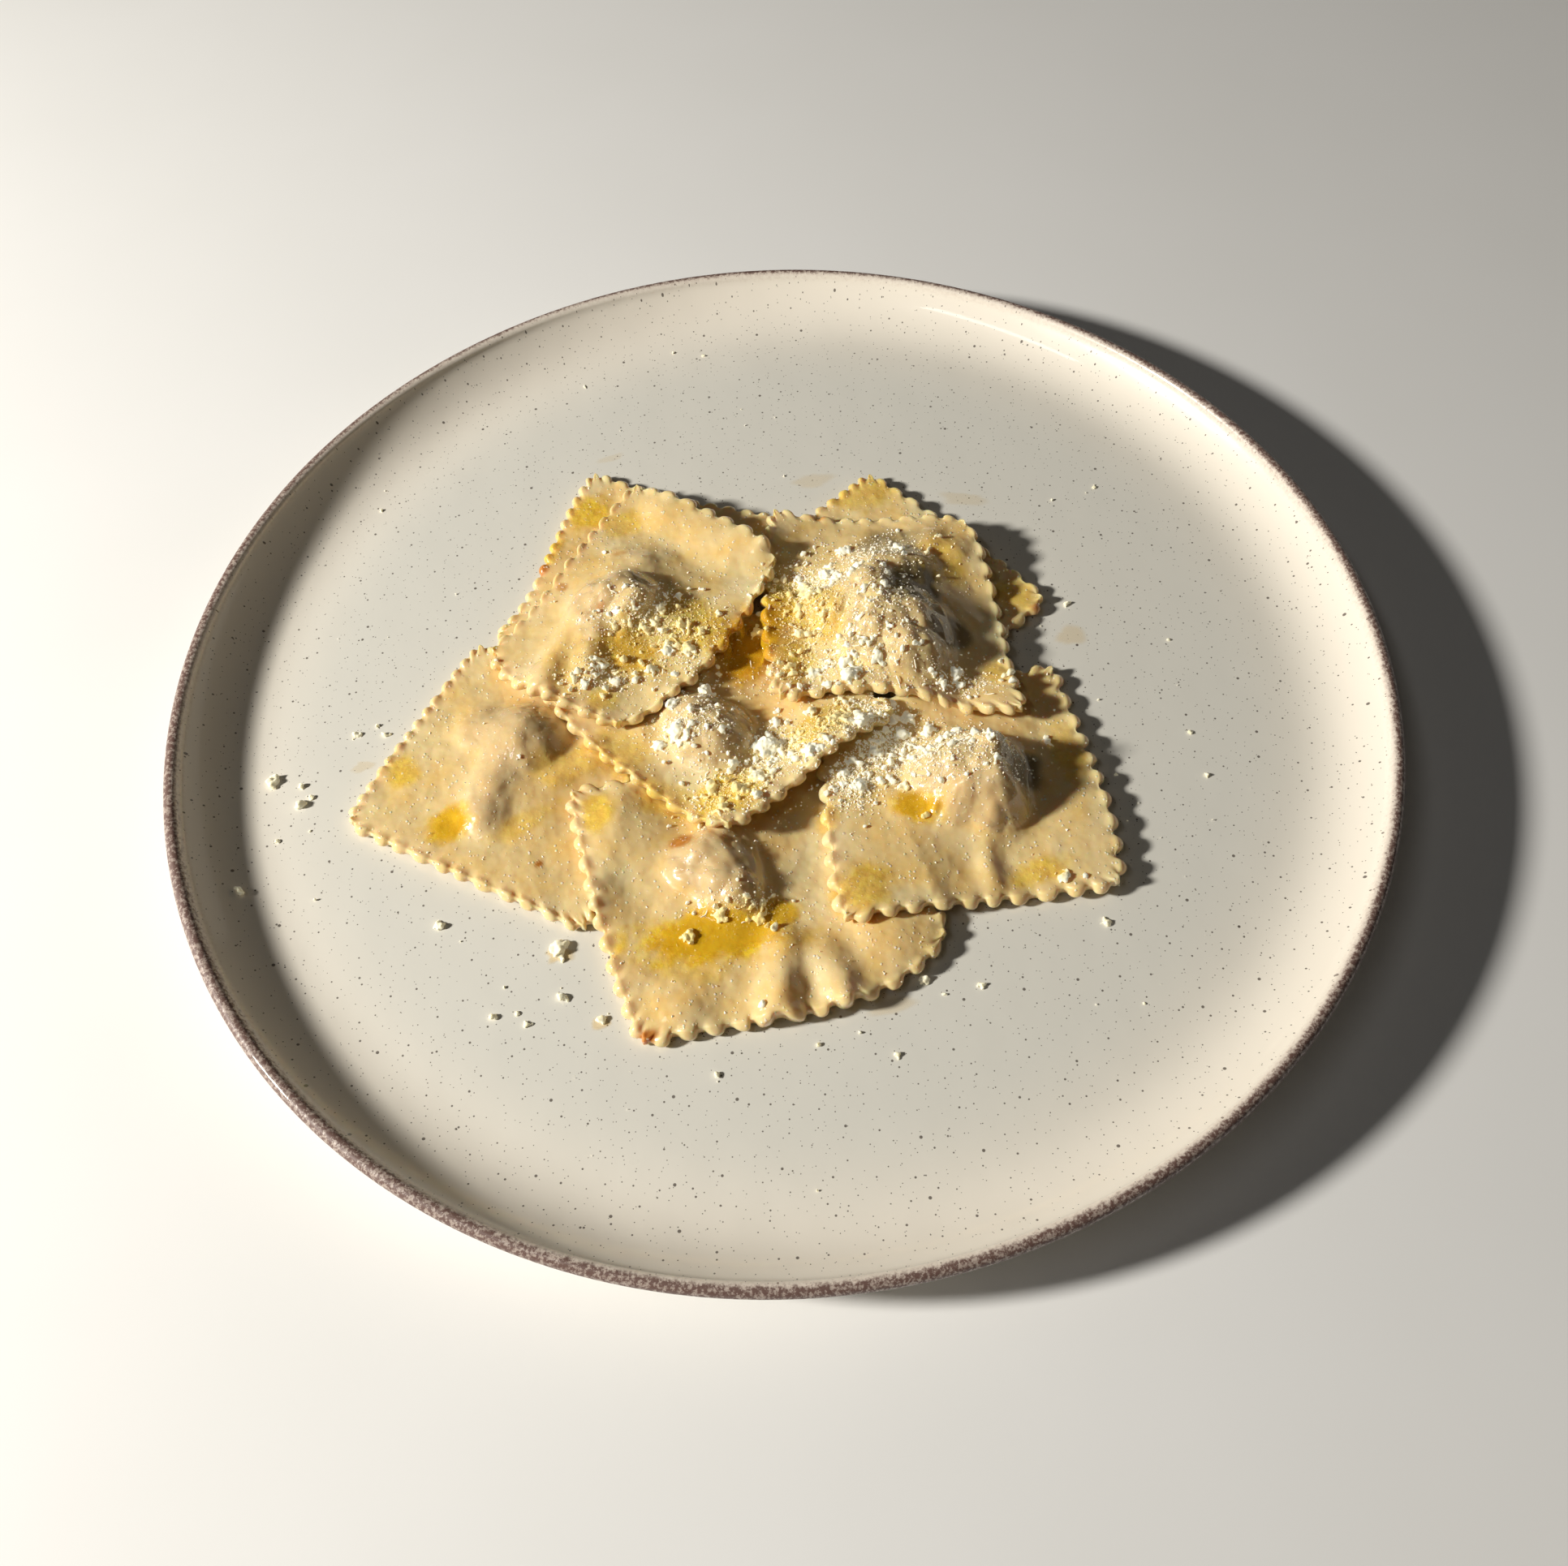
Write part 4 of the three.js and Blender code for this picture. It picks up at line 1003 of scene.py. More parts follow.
# %% Stains
# x, y, half widths along and across, turn in degrees, strength
OIL = [
    (-17, -63, 19, 6.5, 2, 1.0), (-3, -58.5, 5, 4, 0, 0.9), (-41, -33, 4, 5, 0, 0.75),
    (-20, -69, 8, 4, 0, 0.4), (-73.5, -32, 5.5, 5, 30, 0.95), (-84.5, -17, 4, 5, 0, 0.7),
    (-47.5, -19, 8, 5, 20, 0.5), (-57, -33, 9, 2.5, 30, 0.45), (-45, 57, 6, 6, 0, 0.85),
    (-54, 45, 3, 6, -20, 0.75), (-36.5, 50, 5, 5, 0, 0.55), (-33, 8, 9, 7, 20, 0.75),
    (-19, 14, 8, 9, 40, 0.8), (-39, -5, 3.5, 3.5, 0, 0.6), (-5, 11, 8, 12, -40, 1.0),
    (2, 20, 5, 9, 0, 0.95), (4, 4, 5, 9, 0, 0.8), (-36, -18, 9, 6, -40, 0.5),
    (-12, -31, 9, 6, 30, 0.85), (9, -15, 9, 5, 35, 0.8), (9, 15, 8, 9, 0, 0.7),
    (6, 23, 5, 4, 0, 0.6), (50, -1.5, 4, 4, 0, 0.5), (40, 30, 6, 8, 0, 0.5),
    (28.5, -36, 6.5, 4, -25, 0.95), (15.5, -55, 7, 6, 0, 0.7), (53.5, -52, 7, 3.5, 10, 0.7),
    (63, -22, 4, 9, 10, 0.5), (9, -37, 3, 4, 0, 0.5), (24, 58, 9, 6, 0, 0.6),
    (57, 24, 6, 5, -40, 0.5), (-48, 5, 6, 9, 0, 0.25), (-26, -30, 8, 5, -30, 0.55),
]
TOASTED_AND_GLOW = [
    (-56.5, 39.5, 2.2, 3, 0, 0.9), (-23, -41, 3.2, 2, 20, 0.9), (-30.5, -84, 2.5, 1.6, 30, 0.9),
    (12.5, 48.5, 2.6, 1.4, 0, 0.8), (63, 19, 2.4, 2, 0, 0.7), (-53.5, -43, 1.2, 0.7, 30, 1.0),
    (-40, 18, 1.3, 1, 0, 0.6), (-50, 30, 1.6, 1.4, 0, 0.6), (-36, 38, 2, 1, 0, 0.35),
    # painted light, not a browned spot: the orange glow of light passed through the dough into the
    # gap between two ravioli
    (-5, 10, 8, 12, -40, 0.5),
]


STAIN_EDGE = (0.55, 1.25)  # shares of the half widths where a stain starts to fade and ends
BROAD_FRAY, BROAD_SIZE = 0.22, 3.0
FINE_FRAY, FINE_SIZE = 0.14, 1.2


def stain(x, y, spots, seed):
    """The strongest of the spots: strength times a soft disc whose border noise breaks."""
    fray = BROAD_FRAY * hills(x, y, BROAD_SIZE, seed)
    fray = fray + FINE_FRAY * hills(x, y, FINE_SIZE, seed + 1)
    total = np.zeros(np.shape(x))
    for a, b, along, across, turn, strength in spots:
        u, v = turned(x - a, y - b, -math.radians(turn))
        away = np.hypot(u / along, v / across) + fray
        total = np.maximum(total, strength * (1 - step(*STAIN_EDGE, away)))
    return total


print(len(OIL), "oily patches and", len(TOASTED_AND_GLOW), "browned ones")

# %% [markdown]
# ## Grated cheese: where it fell
# The cheese lies thickest on the two top ravioli and in the gap between them. Patches give
# its thickness, and the same field roughens and pales the dough where the finest dust melts
# into the oil.

# %% Cheese patches
# x, y, half widths, turn, weight
CHEESE = [
    (14, 0, 17, 6, -5, 1.0), (9, 26, 9, 7, 20, 0.9), (8, 13, 8, 9, 0, 0.8),
    (22, 14, 10, 10, 0, 0.6), (42, -5, 7, 3.5, 0, 0.25), (-23, 11, 12, 10, 35, 1.0),
    (-40, 2, 8, 5, 0, 0.45), (-33, 15, 8, 6, 0, 0.4), (1, -20, 8, 6, 30, 1.0),
    (-20, -14, 9, 7, 0, 0.6), (-12, -30, 9, 6, 20, 0.8), (16, -14, 9, 5, 25, 0.9),
    (23, -19, 8, 7, -10, 1.0), (15, -29, 5, 6, 0, 0.7), (36, -22, 8, 7, 0, 0.5),
    (-10, -58, 10, 4, 0, 0.25), (28, 32, 10, 8, 0, 0.35), (30, -28, 8, 6, -20, 0.4),
    (44, -28, 7, 6, 0, 0.3),
]


CHEESE_FALL = 1.2  # how fast a patch thins outwards


def cheese_share(x, y):
    """How thickly cheese lies: the patches added up, at most 1."""
    total = np.zeros(np.shape(x))
    for a, b, along, across, turn, weight in CHEESE:
        u, v = turned(x - a, y - b, -math.radians(turn))
        total = total + weight * np.exp(-CHEESE_FALL * ((u / along) ** 2 + (v / across) ** 2))
    return np.minimum(total, 1)


print(len(CHEESE), "patches of cheese")

# %% [markdown]
# ## The finish of the dough
# Boiled egg dough is cream to peach, a little translucent, and shines with water and oil.
# Light goes a few millimetres into it and comes out redder, which subsurface scattering gives.
# Over the filling it looks greyer and pinker, because the meat shows through. A clear coat with a
# fine bump gives the many pinpoint highlights of a wet surface, and small white beads in the
# colour add to them: partly melted cheese, partly painted glints.

# %% Dough finish
DOUGH = (0.830, 0.612, 0.290)
DOUGH_PALE = (0.885, 0.710, 0.395)
DOUGH_WARM = (0.840, 0.565, 0.205)
FILLING_PINK = (0.650, 0.460, 0.235)
FILLING_GREY = (0.600, 0.465, 0.260)
# dark grey of the films: thin dough over air, and partly painted shade
FILM_AND_SHADE_GREY = (0.130, 0.098, 0.050)
OIL_GOLD = (0.890, 0.590, 0.020)
OIL_DEEP = (0.740, 0.420, 0.004)
# browned crust, and the painted orange glow in the gap between two ravioli
TOAST_AND_GLOW = (0.520, 0.170, 0.010)
CHEESE_DUST = (0.905, 0.755, 0.345)
# white of the beads: partly melted cheese, partly painted glints
BEAD_AND_GLINT_WHITE = (0.970, 0.930, 0.820)
# size in mm, detail and roughness of each pattern
CLOUDS, PATCHES, PASTE = (7.0, 3.0, 0.6), (5.0, 3.0, 0.6), (2.6, 3.0, 0.6)
GRAIN, CHUNKS, BEAD_GROUPS = (0.9, 2.0, 0.6), (1.3, 2.0, 0.6), (3.0, 3.0, 0.7)
PALE_SIZE, BEAD_SIZE, RIPPLE_PATTERN = 15.0, 1.25, (3.0, 1.0)
# how much of the colour below each tint covers
RIM_COVER, FILLING_COVER, FILM_AND_SHADE_COVER, OIL_COVER = 0.35, 0.7, 0.85, 0.92
DUST_COVER, GRAIN_COVER, BEAD_AND_GLINT_COVER = 0.8, 0.3, 0.7
SKIN_BUMP = 0.30


def dough_finish():
    """Cream dough, tinted by the fields of the surface that it lies on."""
    dough = Finish(
        "boiled_dough",
        Subsurface_Weight=0.5,
        Subsurface_Radius=(1.0, 0.45, 0.15),
        Subsurface_Scale=0.0035,
        Specular_IOR_Level=0.3,
        Coat_Roughness=0.045,
        Coat_IOR=1.48,
        IOR=1.42,
    )
    filling, film_and_shade, rim = (dough.attribute(k) for k in ("filling", "film_and_shade", "rim"))
    oil, toast_and_glow, dust = (dough.attribute(k) for k in ("oil", "toast_and_glow", "dust"))
    cloud, grain = dough.noise(*CLOUDS), dough.noise(*GRAIN)
    colour = dough.mix(cloud.step(0.35, 0.7), DOUGH, DOUGH_WARM)
    colour = dough.mix(dough.noise(PALE_SIZE).step(0.45, 0.75), colour, DOUGH_PALE)
    colour = dough.mix(rim * RIM_COVER, colour, DOUGH_PALE)
    meat = dough.mix(dough.noise(*PASTE).step(0.4, 0.65), FILLING_PINK, FILLING_GREY)
    colour = dough.mix(filling * FILLING_COVER, colour, meat)
    # partly painted shade: the films darken the dough
    colour = dough.mix(film_and_shade * FILM_AND_SHADE_COVER, colour, FILM_AND_SHADE_GREY)
    pool = dough.mix(dough.noise(*PASTE).step(0.4, 0.6), OIL_DEEP, OIL_GOLD)
    colour = dough.mix(oil * OIL_COVER, colour, pool)
    dusted = dust * grain.step(0.38, 0.56) * DUST_COVER * (1 - 0.5 * oil)
    colour = dough.mix(dusted, colour, CHEESE_DUST)
    colour = dough.mix(grain.step(0.60, 0.72) * GRAIN_COVER, colour, DOUGH_PALE)
    # browned spots, and one painted glow of light through the dough
    colour = dough.mix(toast_and_glow, colour, TOAST_AND_GLOW)
    # beads: small pale drops in groups, fewer of them in the oil; their white is partly melted
    # cheese and partly painted glints
    beads_and_glints = 1 - dough.cells(BEAD_SIZE).step(0.14, 0.30)
    beads_and_glints = beads_and_glints * dough.noise(*BEAD_GROUPS).step(0.44, 0.60) * (1 - 0.6 * oil)
    colour = dough.mix(beads_and_glints * BEAD_AND_GLINT_COVER, colour, BEAD_AND_GLINT_WHITE)
    dough.feed("Base Color", colour)
    patches = dough.noise(*PATCHES)
    dough.feed("Roughness", (0.44 - 0.2 * patches.step(0.4, 0.7) - 0.2 * oil).most(0.15))
    dough.feed("Coat Weight", (0.7 + 0.3 * patches.step(0.4, 0.6) + 0.3 * filling).least(1.0))
    chunks = dough.noise(*CHUNKS) * (oil * 0.8 + dust * 0.5)
    dough.bump(dough.noise(*RIPPLE_PATTERN) * 1.1 + beads_and_glints * 0.5 + chunks, SKIN_BUMP)
    return dough.material


DOUGH_FINISH = dough_finish()
print(DOUGH_FINISH.name, "has", len(DOUGH_FINISH.node_tree.nodes), "nodes")

# %% Make the heap
BUCKLE, BUCKLE_SIZE = 0.9, 14.0  # the boiled dough stands off in waves this high and wide
SOFTENING = 3  # smoothing passes over the relief, so the dough bridges where a lump starts
FIRST_SEED, SEED_STEP = 100, 40  # each raviolo has its own seeds, one for each field


def make_heap():
    """Drapes each raviolo over the ones before it, and adds it as a piece. Gives the points
    and the faces of each."""
    heap_top = plate_top(np.hypot(WORLD_X, WORLD_Y))
    surfaces = []
    for k, (name, spec) in enumerate(RAVIOLI.items()):
        seed = FIRST_SEED + SEED_STEP * k
        inside = footprint(spec)
        support = np.maximum(heap_top, blurred(heap_top)) + GAP
        under = drape(support, inside) + relief(WORLD_X, WORLD_Y, spec["lifts"])
        waves = np.clip(hills(WORLD_X, WORLD_Y, BUCKLE_SIZE, seed + 31), 0, None)
        under = under + BUCKLE * waves
        under = spread(under, inside)
        under = np.where(inside, np.maximum(blurred(under), support), under)
        under = spread(under, inside)
        bumps = relief(WORLD_X, WORLD_Y, spec["relief"])
        for _ in range(SOFTENING):
            bumps = blurred(bumps)
        top = under + SHEET + bumps + skin(WORLD_X, WORLD_Y, spec, seed)
        heap_top = np.where(inside, np.maximum(heap_top, top), heap_top)

        grid, fields = raviolo_surface(spec, under, bumps, seed)
        rows, columns = grid.shape[:2]
        x, y = grid[..., 0], grid[..., 1]
        upper = np.arange(rows)[:, None] < len(TOP_ROWS)
        fields["oil"] = stain(x, y, OIL, seed) * upper
        # browned spots, and one painted glow of light through the dough
        fields["toast_and_glow"] = stain(x, y, TOASTED_AND_GLOW, seed + 5) * upper
        fields["dust"] = cheese_share(x, y) * upper
        poles = grid[[0, -1]].mean(axis=1)
        points = np.vstack([grid.reshape(-1, 3), poles])
        fields = {
            label: np.append(values.ravel(), [values[0].mean(), values[-1].mean()])
            for label, values in fields.items()
        }
        ring = np.arange(columns)
        following, last, pole = np.roll(ring, -1), (rows - 1) * columns, rows * columns
        cap = np.stack([np.full(columns, pole), following, ring], axis=-1)
        base = np.stack([np.full(columns, pole + 1), last + ring, last + following], axis=-1)
        faces = [grid_quads(rows, columns)[:, ::-1], cap, base]
        dough_name = name.replace("raviolo", "dough")
        piece = add_piece(dough_name, points, faces, DOUGH_FINISH, fields)
        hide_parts(name)
        surfaces.append((points, faces))
        print(f"{name}: {len(points)} points, top {points[:, 2].max():.1f} mm")
    return surfaces


heap_surfaces = make_heap()

# %% [markdown]
# ## Grated cheese
# The cheese was grated over the heap from above. It lies as fluffy crumbs one to four
# millimetres wide, made of angular grains, with dust between them and a few thin shreds. A
# particle system would scatter copies, but its copies are lost when the model is exported.
# Here every grain is a twenty-sided solid with its corners shifted, and a ray dropped from
# above finds what it lands on. A voxel remesh then melts the grains of the crumbs into one
# skin, so that light can pass from grain to grain. The finest dust stays as separate
# eight-sided grains.

# %% Rays from above
def join_surfaces(surfaces):
    """One tree of all the surfaces, in millimetres, that rays can be cast on."""
    points, polygons, first = [], [], 0
    for vertices, face_sets in surfaces:
        points += vertices.tolist()
        for faces in face_sets:
            polygons += (faces + first).tolist()
        first += len(vertices)
    return BVHTree.FromPolygons(points, polygons)


HEAP_TREE = join_surfaces(heap_surfaces)
DROP_HEIGHT = 80.0  # above everything on the plate


def land(x, y):
    """Drops a ray at each (x, y). Gives the height it lands on, how level it is there, and
    whether it met a raviolo; past the heap it is the plate."""
    height = plate_top(np.hypot(x, y))
    level_there, on_heap = np.ones(len(x)), np.zeros(len(x), bool)
    down = Vector((0, 0, -1))
    for i, (a, b) in enumerate(zip(x, y)):
        hit, normal, _, _ = HEAP_TREE.ray_cast(Vector((a, b, DROP_HEIGHT)), down)
        if hit is not None:
            height[i], level_there[i], on_heap[i] = hit.z, abs(normal.z), True
    return height, level_there, on_heap


print(f"a ray down the middle lands {land(np.zeros(1), np.zeros(1))[0][0]:.1f} mm up")

# %% Grains
GOLDEN = (1 + math.sqrt(5)) / 2
CLOSE = 1e-6  # lengths that differ by less are the same
STRETCH = (0.6, 1.25)


def regular_solid(first_corners):
    """The corners rolled through x, y and z, and every triple of them that is one edge length
    apart, wound outwards: an octahedron or an icosahedron of radius 1."""
    corners = np.array([np.roll(c, k) for c in first_corners for k in range(3)], dtype=float)
    corners /= np.linalg.norm(corners[0])
    gap = np.linalg.norm(corners[:, None] - corners[None], axis=-1)
    near = np.isclose(gap, np.min(gap[gap > CLOSE]), atol=CLOSE)
    every_triple = combinations(range(len(corners)), 3)
    triples = [t for t in every_triple if all(near[pair] for pair in combinations(t, 2))]
    outward = [np.linalg.det(corners[list(t)]) > 0 for t in triples]
    return corners, np.array([t if out else t[::-1] for t, out in zip(triples, outward)])


ICOSAHEDRON = regular_solid([(0, a, b * GOLDEN) for a in (-1, 1) for b in (-1, 1)])
OCTAHEDRON = regular_solid([(1, 0, 0), (-1, 0, 0)])


def random_turns(count, rng):
    """Rotation matrices from random unit quaternions."""
    w, x, y, z = rng.normal(size=(4, count))
    n = np.sqrt(w * w + x * x + y * y + z * z)
    w, x, y, z = w / n, x / n, y / n, z / n
    rows = [
        [1 - 2 * (y * y + z * z), 2 * (x * y - w * z), 2 * (x * z + w * y)],
        [2 * (x * y + w * z), 1 - 2 * (x * x + z * z), 2 * (y * z - w * x)],
        [2 * (x * z - w * y), 2 * (y * z + w * x), 1 - 2 * (x * x + y * y)],
    ]
    return np.array(rows).transpose(2, 0, 1)


def grains(solid, centres, sizes, rng, raggedness=0.35):
    """The solid at each centre, stretched, with each corner shifted in or out by up to the
    raggedness, and turned at random."""
    corners, triples = solid
    count = len(centres)
    stretch = sizes[:, None, None] * rng.uniform(*STRETCH, (count, 1, 3))
    shift = 1 + raggedness * rng.uniform(-1, 1, (count, len(corners), 1))
    local = np.einsum("nij,nkj->nki", random_turns(count, rng), corners * shift * stretch)
    points = (local + centres[:, None]).reshape(-1, 3)
    faces = (triples[None] + len(corners) * np.arange(count)[:, None, None]).reshape(-1, 3)
    return points, faces


print("grains of", len(ICOSAHEDRON[1]), "faces, specks of", len(OCTAHEDRON[1]))

# %% Cheese finish
CHEESE_WHITE = (0.975, 0.925, 0.800)
CHEESE_CREAM = (0.940, 0.880, 0.700)
CHEESE_OILY = (0.900, 0.720, 0.260)
# painted light: the cheese glows faintly in its own colour, which lifts its shadows
PAINTED_GLOW = 0.11
MELT_PATTERN = (1.6, 2.0)  # size and detail of the creamier patches


def cheese_finish(name, through):
    """White and dry, or soaked yellow and shiny where it lies in oil. through is the share of the
    light that spreads inside before it comes out. A faint glow in the cheese's own colour is
    painted light: it stands for the light that crumbs pass to each other and lifts their own
    shadows."""
    cheese = Finish(
        name,
        Subsurface_Weight=through,
        Subsurface_Radius=(1.0, 1.0, 0.9),
        Subsurface_Scale=0.00030,
        Specular_IOR_Level=0.25,
        Coat_Roughness=0.12,
        Emission_Strength=PAINTED_GLOW,
    )
    oily = cheese.attribute("oily")
    colour = cheese.mix(cheese.noise(*MELT_PATTERN).step(0.4, 0.65), CHEESE_WHITE, CHEESE_CREAM)
    colour = cheese.mix(oily, colour, CHEESE_OILY)
    cheese.feed("Base Color", colour)
    # painted glow: the emission takes the cheese's own colour
    cheese.feed("Emission Color", colour)
    cheese.feed("Roughness", 0.7 - 0.4 * oily)
    cheese.feed("Coat Weight", 0.6 * oily)
    return cheese.material


CRUMB_FINISH = cheese_finish("grated_hard_cheese", 1.0)
DUST_FINISH = cheese_finish("fine_hard_cheese", 0.0)
print("cheese finishes:", CRUMB_FINISH.name, "and", DUST_FINISH.name)

# %% Adding and welding cheese
OIL_SEED = 5
DAMP = 0.25  # how oily cheese is that takes up nothing from below
WELD = 0.25  # mm, cells of the remesh


def add_cheese(name, points, faces, finish, uptake):
    """One piece of cheese. uptake is how far the oil under each point tints it."""
    oily = stain(points[:, 0], points[:, 1], OIL, OIL_SEED)
    oily = np.clip(oily * uptake + DAMP * (1 - uptake), 0, 1)
    add_piece(name, points, [faces], finish, {"oily": oily}, smooth=False)
    print(f"{name}: {len(points)} points, {len(faces)} faces")


def welded(points, faces):
    """The overlapping grains melted into one skin by a voxel remesh, so that light can pass
    from grain to grain."""
    rough_mesh = bpy.data.meshes.new("loose_grains")
    rough_mesh.from_pydata((points * MM).tolist(), [], faces.tolist())
    loose = bpy.data.objects.new("loose_grains", rough_mesh)
    bpy.context.scene.collection.objects.link(loose)
    remesh = loose.modifiers.new("weld", "REMESH")
    remesh.mode, remesh.voxel_size = "VOXEL", WELD * MM
    graph = bpy.context.evaluated_depsgraph_get()
    skin_mesh = bpy.data.meshes.new_from_object(loose.evaluated_get(graph))
    corner = np.empty(len(skin_mesh.vertices) * 3)
    skin_mesh.vertices.foreach_get("co", corner)
    quads = np.empty(len(skin_mesh.loops), dtype=int)
    skin_mesh.loops.foreach_get("vertex_index", quads)
    bpy.data.objects.remove(loose)
    bpy.data.meshes.remove(rough_mesh)
    bpy.data.meshes.remove(skin_mesh)
    return corner.reshape(-1, 3) / MM, quads.reshape(-1, 4)


print("crumbs are welded on a lattice of", WELD, "mm")

# %% Crumbs on the ravioli
# x, y, width of a crumb, how many grains before GRAINS_MORE
CRUMBS = [
    (17.5, 35.5, 3.4, 26), (7.5, 26, 2.6, 18), (5.5, 11, 2.8, 20), (25.5, -8.5, 2.8, 20),
    (40.5, -3, 3.0, 22), (51, 1.5, 1.8, 10), (16, -4, 4.2, 34), (22.5, -1, 2.6, 18),
    (11, -5.5, 2.6, 18), (3, 1.5, 2.4, 14), (37, -6, 2.4, 14), (9, 20, 3.6, 28),
    (14, 23, 2.8, 18), (12.5, 28, 3.4, 24), (20, 25, 3.0, 20), (26, 23, 2.0, 12),
    (8, -1, 3.0, 22), (-26, 18, 2.8, 18), (-30.5, 13.5, 1.8, 10), (-25, 7.5, 2.8, 18),
    (-36.5, 0, 2.6, 16), (-41, 4.5, 2.0, 12), (-20, 8, 3.2, 24), (-13, 17.5, 2.2, 12),
    (-43.5, -1.5, 2.4, 14), (-29, 3, 3.0, 20), (-22, 14, 2.6, 16), (-17, 12, 2.4, 14),
    (-23, -15.5, 4.4, 30), (-3, -19, 5.4, 46), (6, -23, 3.8, 26), (-13.5, -35.5, 3.2, 22),
    (-16, -28, 2.6, 16), (-9, -30.5, 2.6, 16), (12, -14, 2.4, 14), (17.5, -16.5, 2.8, 18),
    (25, -12, 3.0, 20), (7, -11, 2.6, 16), (-4, 15, 3.6, 14), (-24.5, -6.5, 3.2, 22),
    (-16.5, -2, 3.8, 30), (-6, -27, 2.8, 18), (-1, -12, 2.8, 18), (-27, -17, 3.0, 18),
    (29, -12, 2.8, 20), (20.5, -21, 3.0, 22), (26.5, -16, 3.4, 28), (13, -26.5, 2.4, 14),
    (59, -19.5, 2.8, 10), (57.5, -54, 3.0, 20), (33, -15.5, 3.2, 24), (23, -28, 2.0, 12),
    (16.5, -30.5, 3.0, 20), (18, -15, 3.4, 28), (36, -20, 2.6, 16), (24, -22, 2.2, 12),
    (62, -54, 1.8, 8), (-15, -58.5, 3.0, 22), (-7, -79, 2.2, 12), (-58, -18.5, 1.4, 6),
    (-77.5, -34, 1.4, 6), (-40, 39.5, 1.6, 8), (-65, 10, 1.6, 6), (-21.5, -62.5, 3.6, 12),
    (-6.5, -59, 3.4, 12), (-3.5, -61.5, 3, 10),
]
# size of a grain as a share of its crumb's width
GRAIN_SHARE, SMALL_GRAIN_SHARE = 0.15, 0.32
GRAINS_MORE = 1.9
SCATTER = 0.32  # how far grains fall from a crumb's middle, as a share of its width
GRAIN_SIZES = (0.55, 1.5)  # smallest and largest beside the mean
MIDDLE_SIZE, SIZE_LOSS = 1.2, 0.6  # grains are larger in the middle
SPILL = 0.5  # grains this share of the width above or below the middle one roll away
PILE_RADIUS, PILE_HEIGHT = 0.6, 0.30  # shares of the width
PERCH = 0.4  # a grain's middle is this share of its size above what it lies on
SMALL_COUNT, SMALL_GRAINS = 1200, 2
SMALL_SPREAD = 0.62  # share of a patch's half widths
SMALLEST, WIDER, SMALL_POWER = 0.6, 1.4, 2.5
CHEESE_SEED = 11


def pile_up(crumbs, rng, grain_share=GRAIN_SHARE):
    """Grains thrown round each crumb's middle. Each lies on the surface or somewhere above
    it, under a low dome, as if on other grains. Grains that would land much higher or lower
    than the rest are left out."""
    centres, sizes = [], []
    for x, y, width, count in crumbs:
        count = int(GRAINS_MORE * count)
        angle, away = rng.uniform(0, 2 * np.pi, count), np.abs(rng.normal(0, SCATTER, count))
        gx, gy = x + width * away * np.cos(angle), y + width * away * np.sin(angle)
        size = width * grain_share * rng.uniform(*GRAIN_SIZES, count)
        size = size * (MIDDLE_SIZE - SIZE_LOSS * away)
        height, _, _ = land(gx, gy)
        near = np.abs(height - np.median(height)) < SPILL * width
        gx, gy, height, size, away = (v[near] for v in (gx, gy, height, size, away))
        dome = np.clip(1 - (away / PILE_RADIUS) ** 2, 0, 1) * width * PILE_HEIGHT
        dome = dome * rng.uniform(0, 1, len(gx))
        centres.append(np.stack([gx, gy, height + PERCH * size + dome], axis=-1))
        sizes.append(size)
    return np.vstack(centres), np.concatenate(sizes)


def small_crumbs(count, rng):
    """(x, y, width) of crumbs drawn from the cheese patches, more of the small ones."""
    patch = np.array(CHEESE)
    chosen = patch[rng.choice(len(patch), count, p=patch[:, 5] / patch[:, 5].sum())]
    u, v = rng.normal(0, SMALL_SPREAD, (2, count)) * chosen[:, 2:4].T
    u, v = turned(u, v, np.radians(chosen[:, 4]))
    width = SMALLEST + WIDER * rng.random(count) ** SMALL_POWER
    return np.stack([chosen[:, 0] + u, chosen[:, 1] + v, width], axis=-1)


cheese_rng = np.random.default_rng(CHEESE_SEED)
small = [(*crumb, SMALL_GRAINS) for crumb in small_crumbs(SMALL_COUNT, cheese_rng)]
heaped = [pile_up(CRUMBS, cheese_rng), pile_up(small, cheese_rng, SMALL_GRAIN_SHARE)]
crumb_centres = np.vstack([centres for centres, _ in heaped])
crumb_sizes = np.concatenate([sizes for _, sizes in heaped])
crumb_skin = welded(*grains(ICOSAHEDRON, crumb_centres, crumb_sizes, cheese_rng))
add_cheese("grated_cheese", *crumb_skin, CRUMB_FINISH, uptake=0.85)

# %% Dust
DUST_COUNT, FAR_SHARE = 16000, 10
FAR_X, FAR_Y = (-95, 70), (-85, 70)  # loose dust falls on nearly all of the heap
DUST_LEVEL = 0.35  # how level a place must be to hold dust
DUST_SMALLEST, DUST_LARGER = 0.10, 0.26
DUST_PERCH = 0.05


def dust_places(count, rng):
    """Most are drawn from the cheese patches, one in FAR_SHARE from the whole heap."""
    loose = count // FAR_SHARE
    near = small_crumbs(count - loose, rng)[:, :2]
    far = np.stack([rng.uniform(*FAR_X, loose), rng.uniform(*FAR_Y, loose)], axis=-1)
    return np.vstack([near, far])


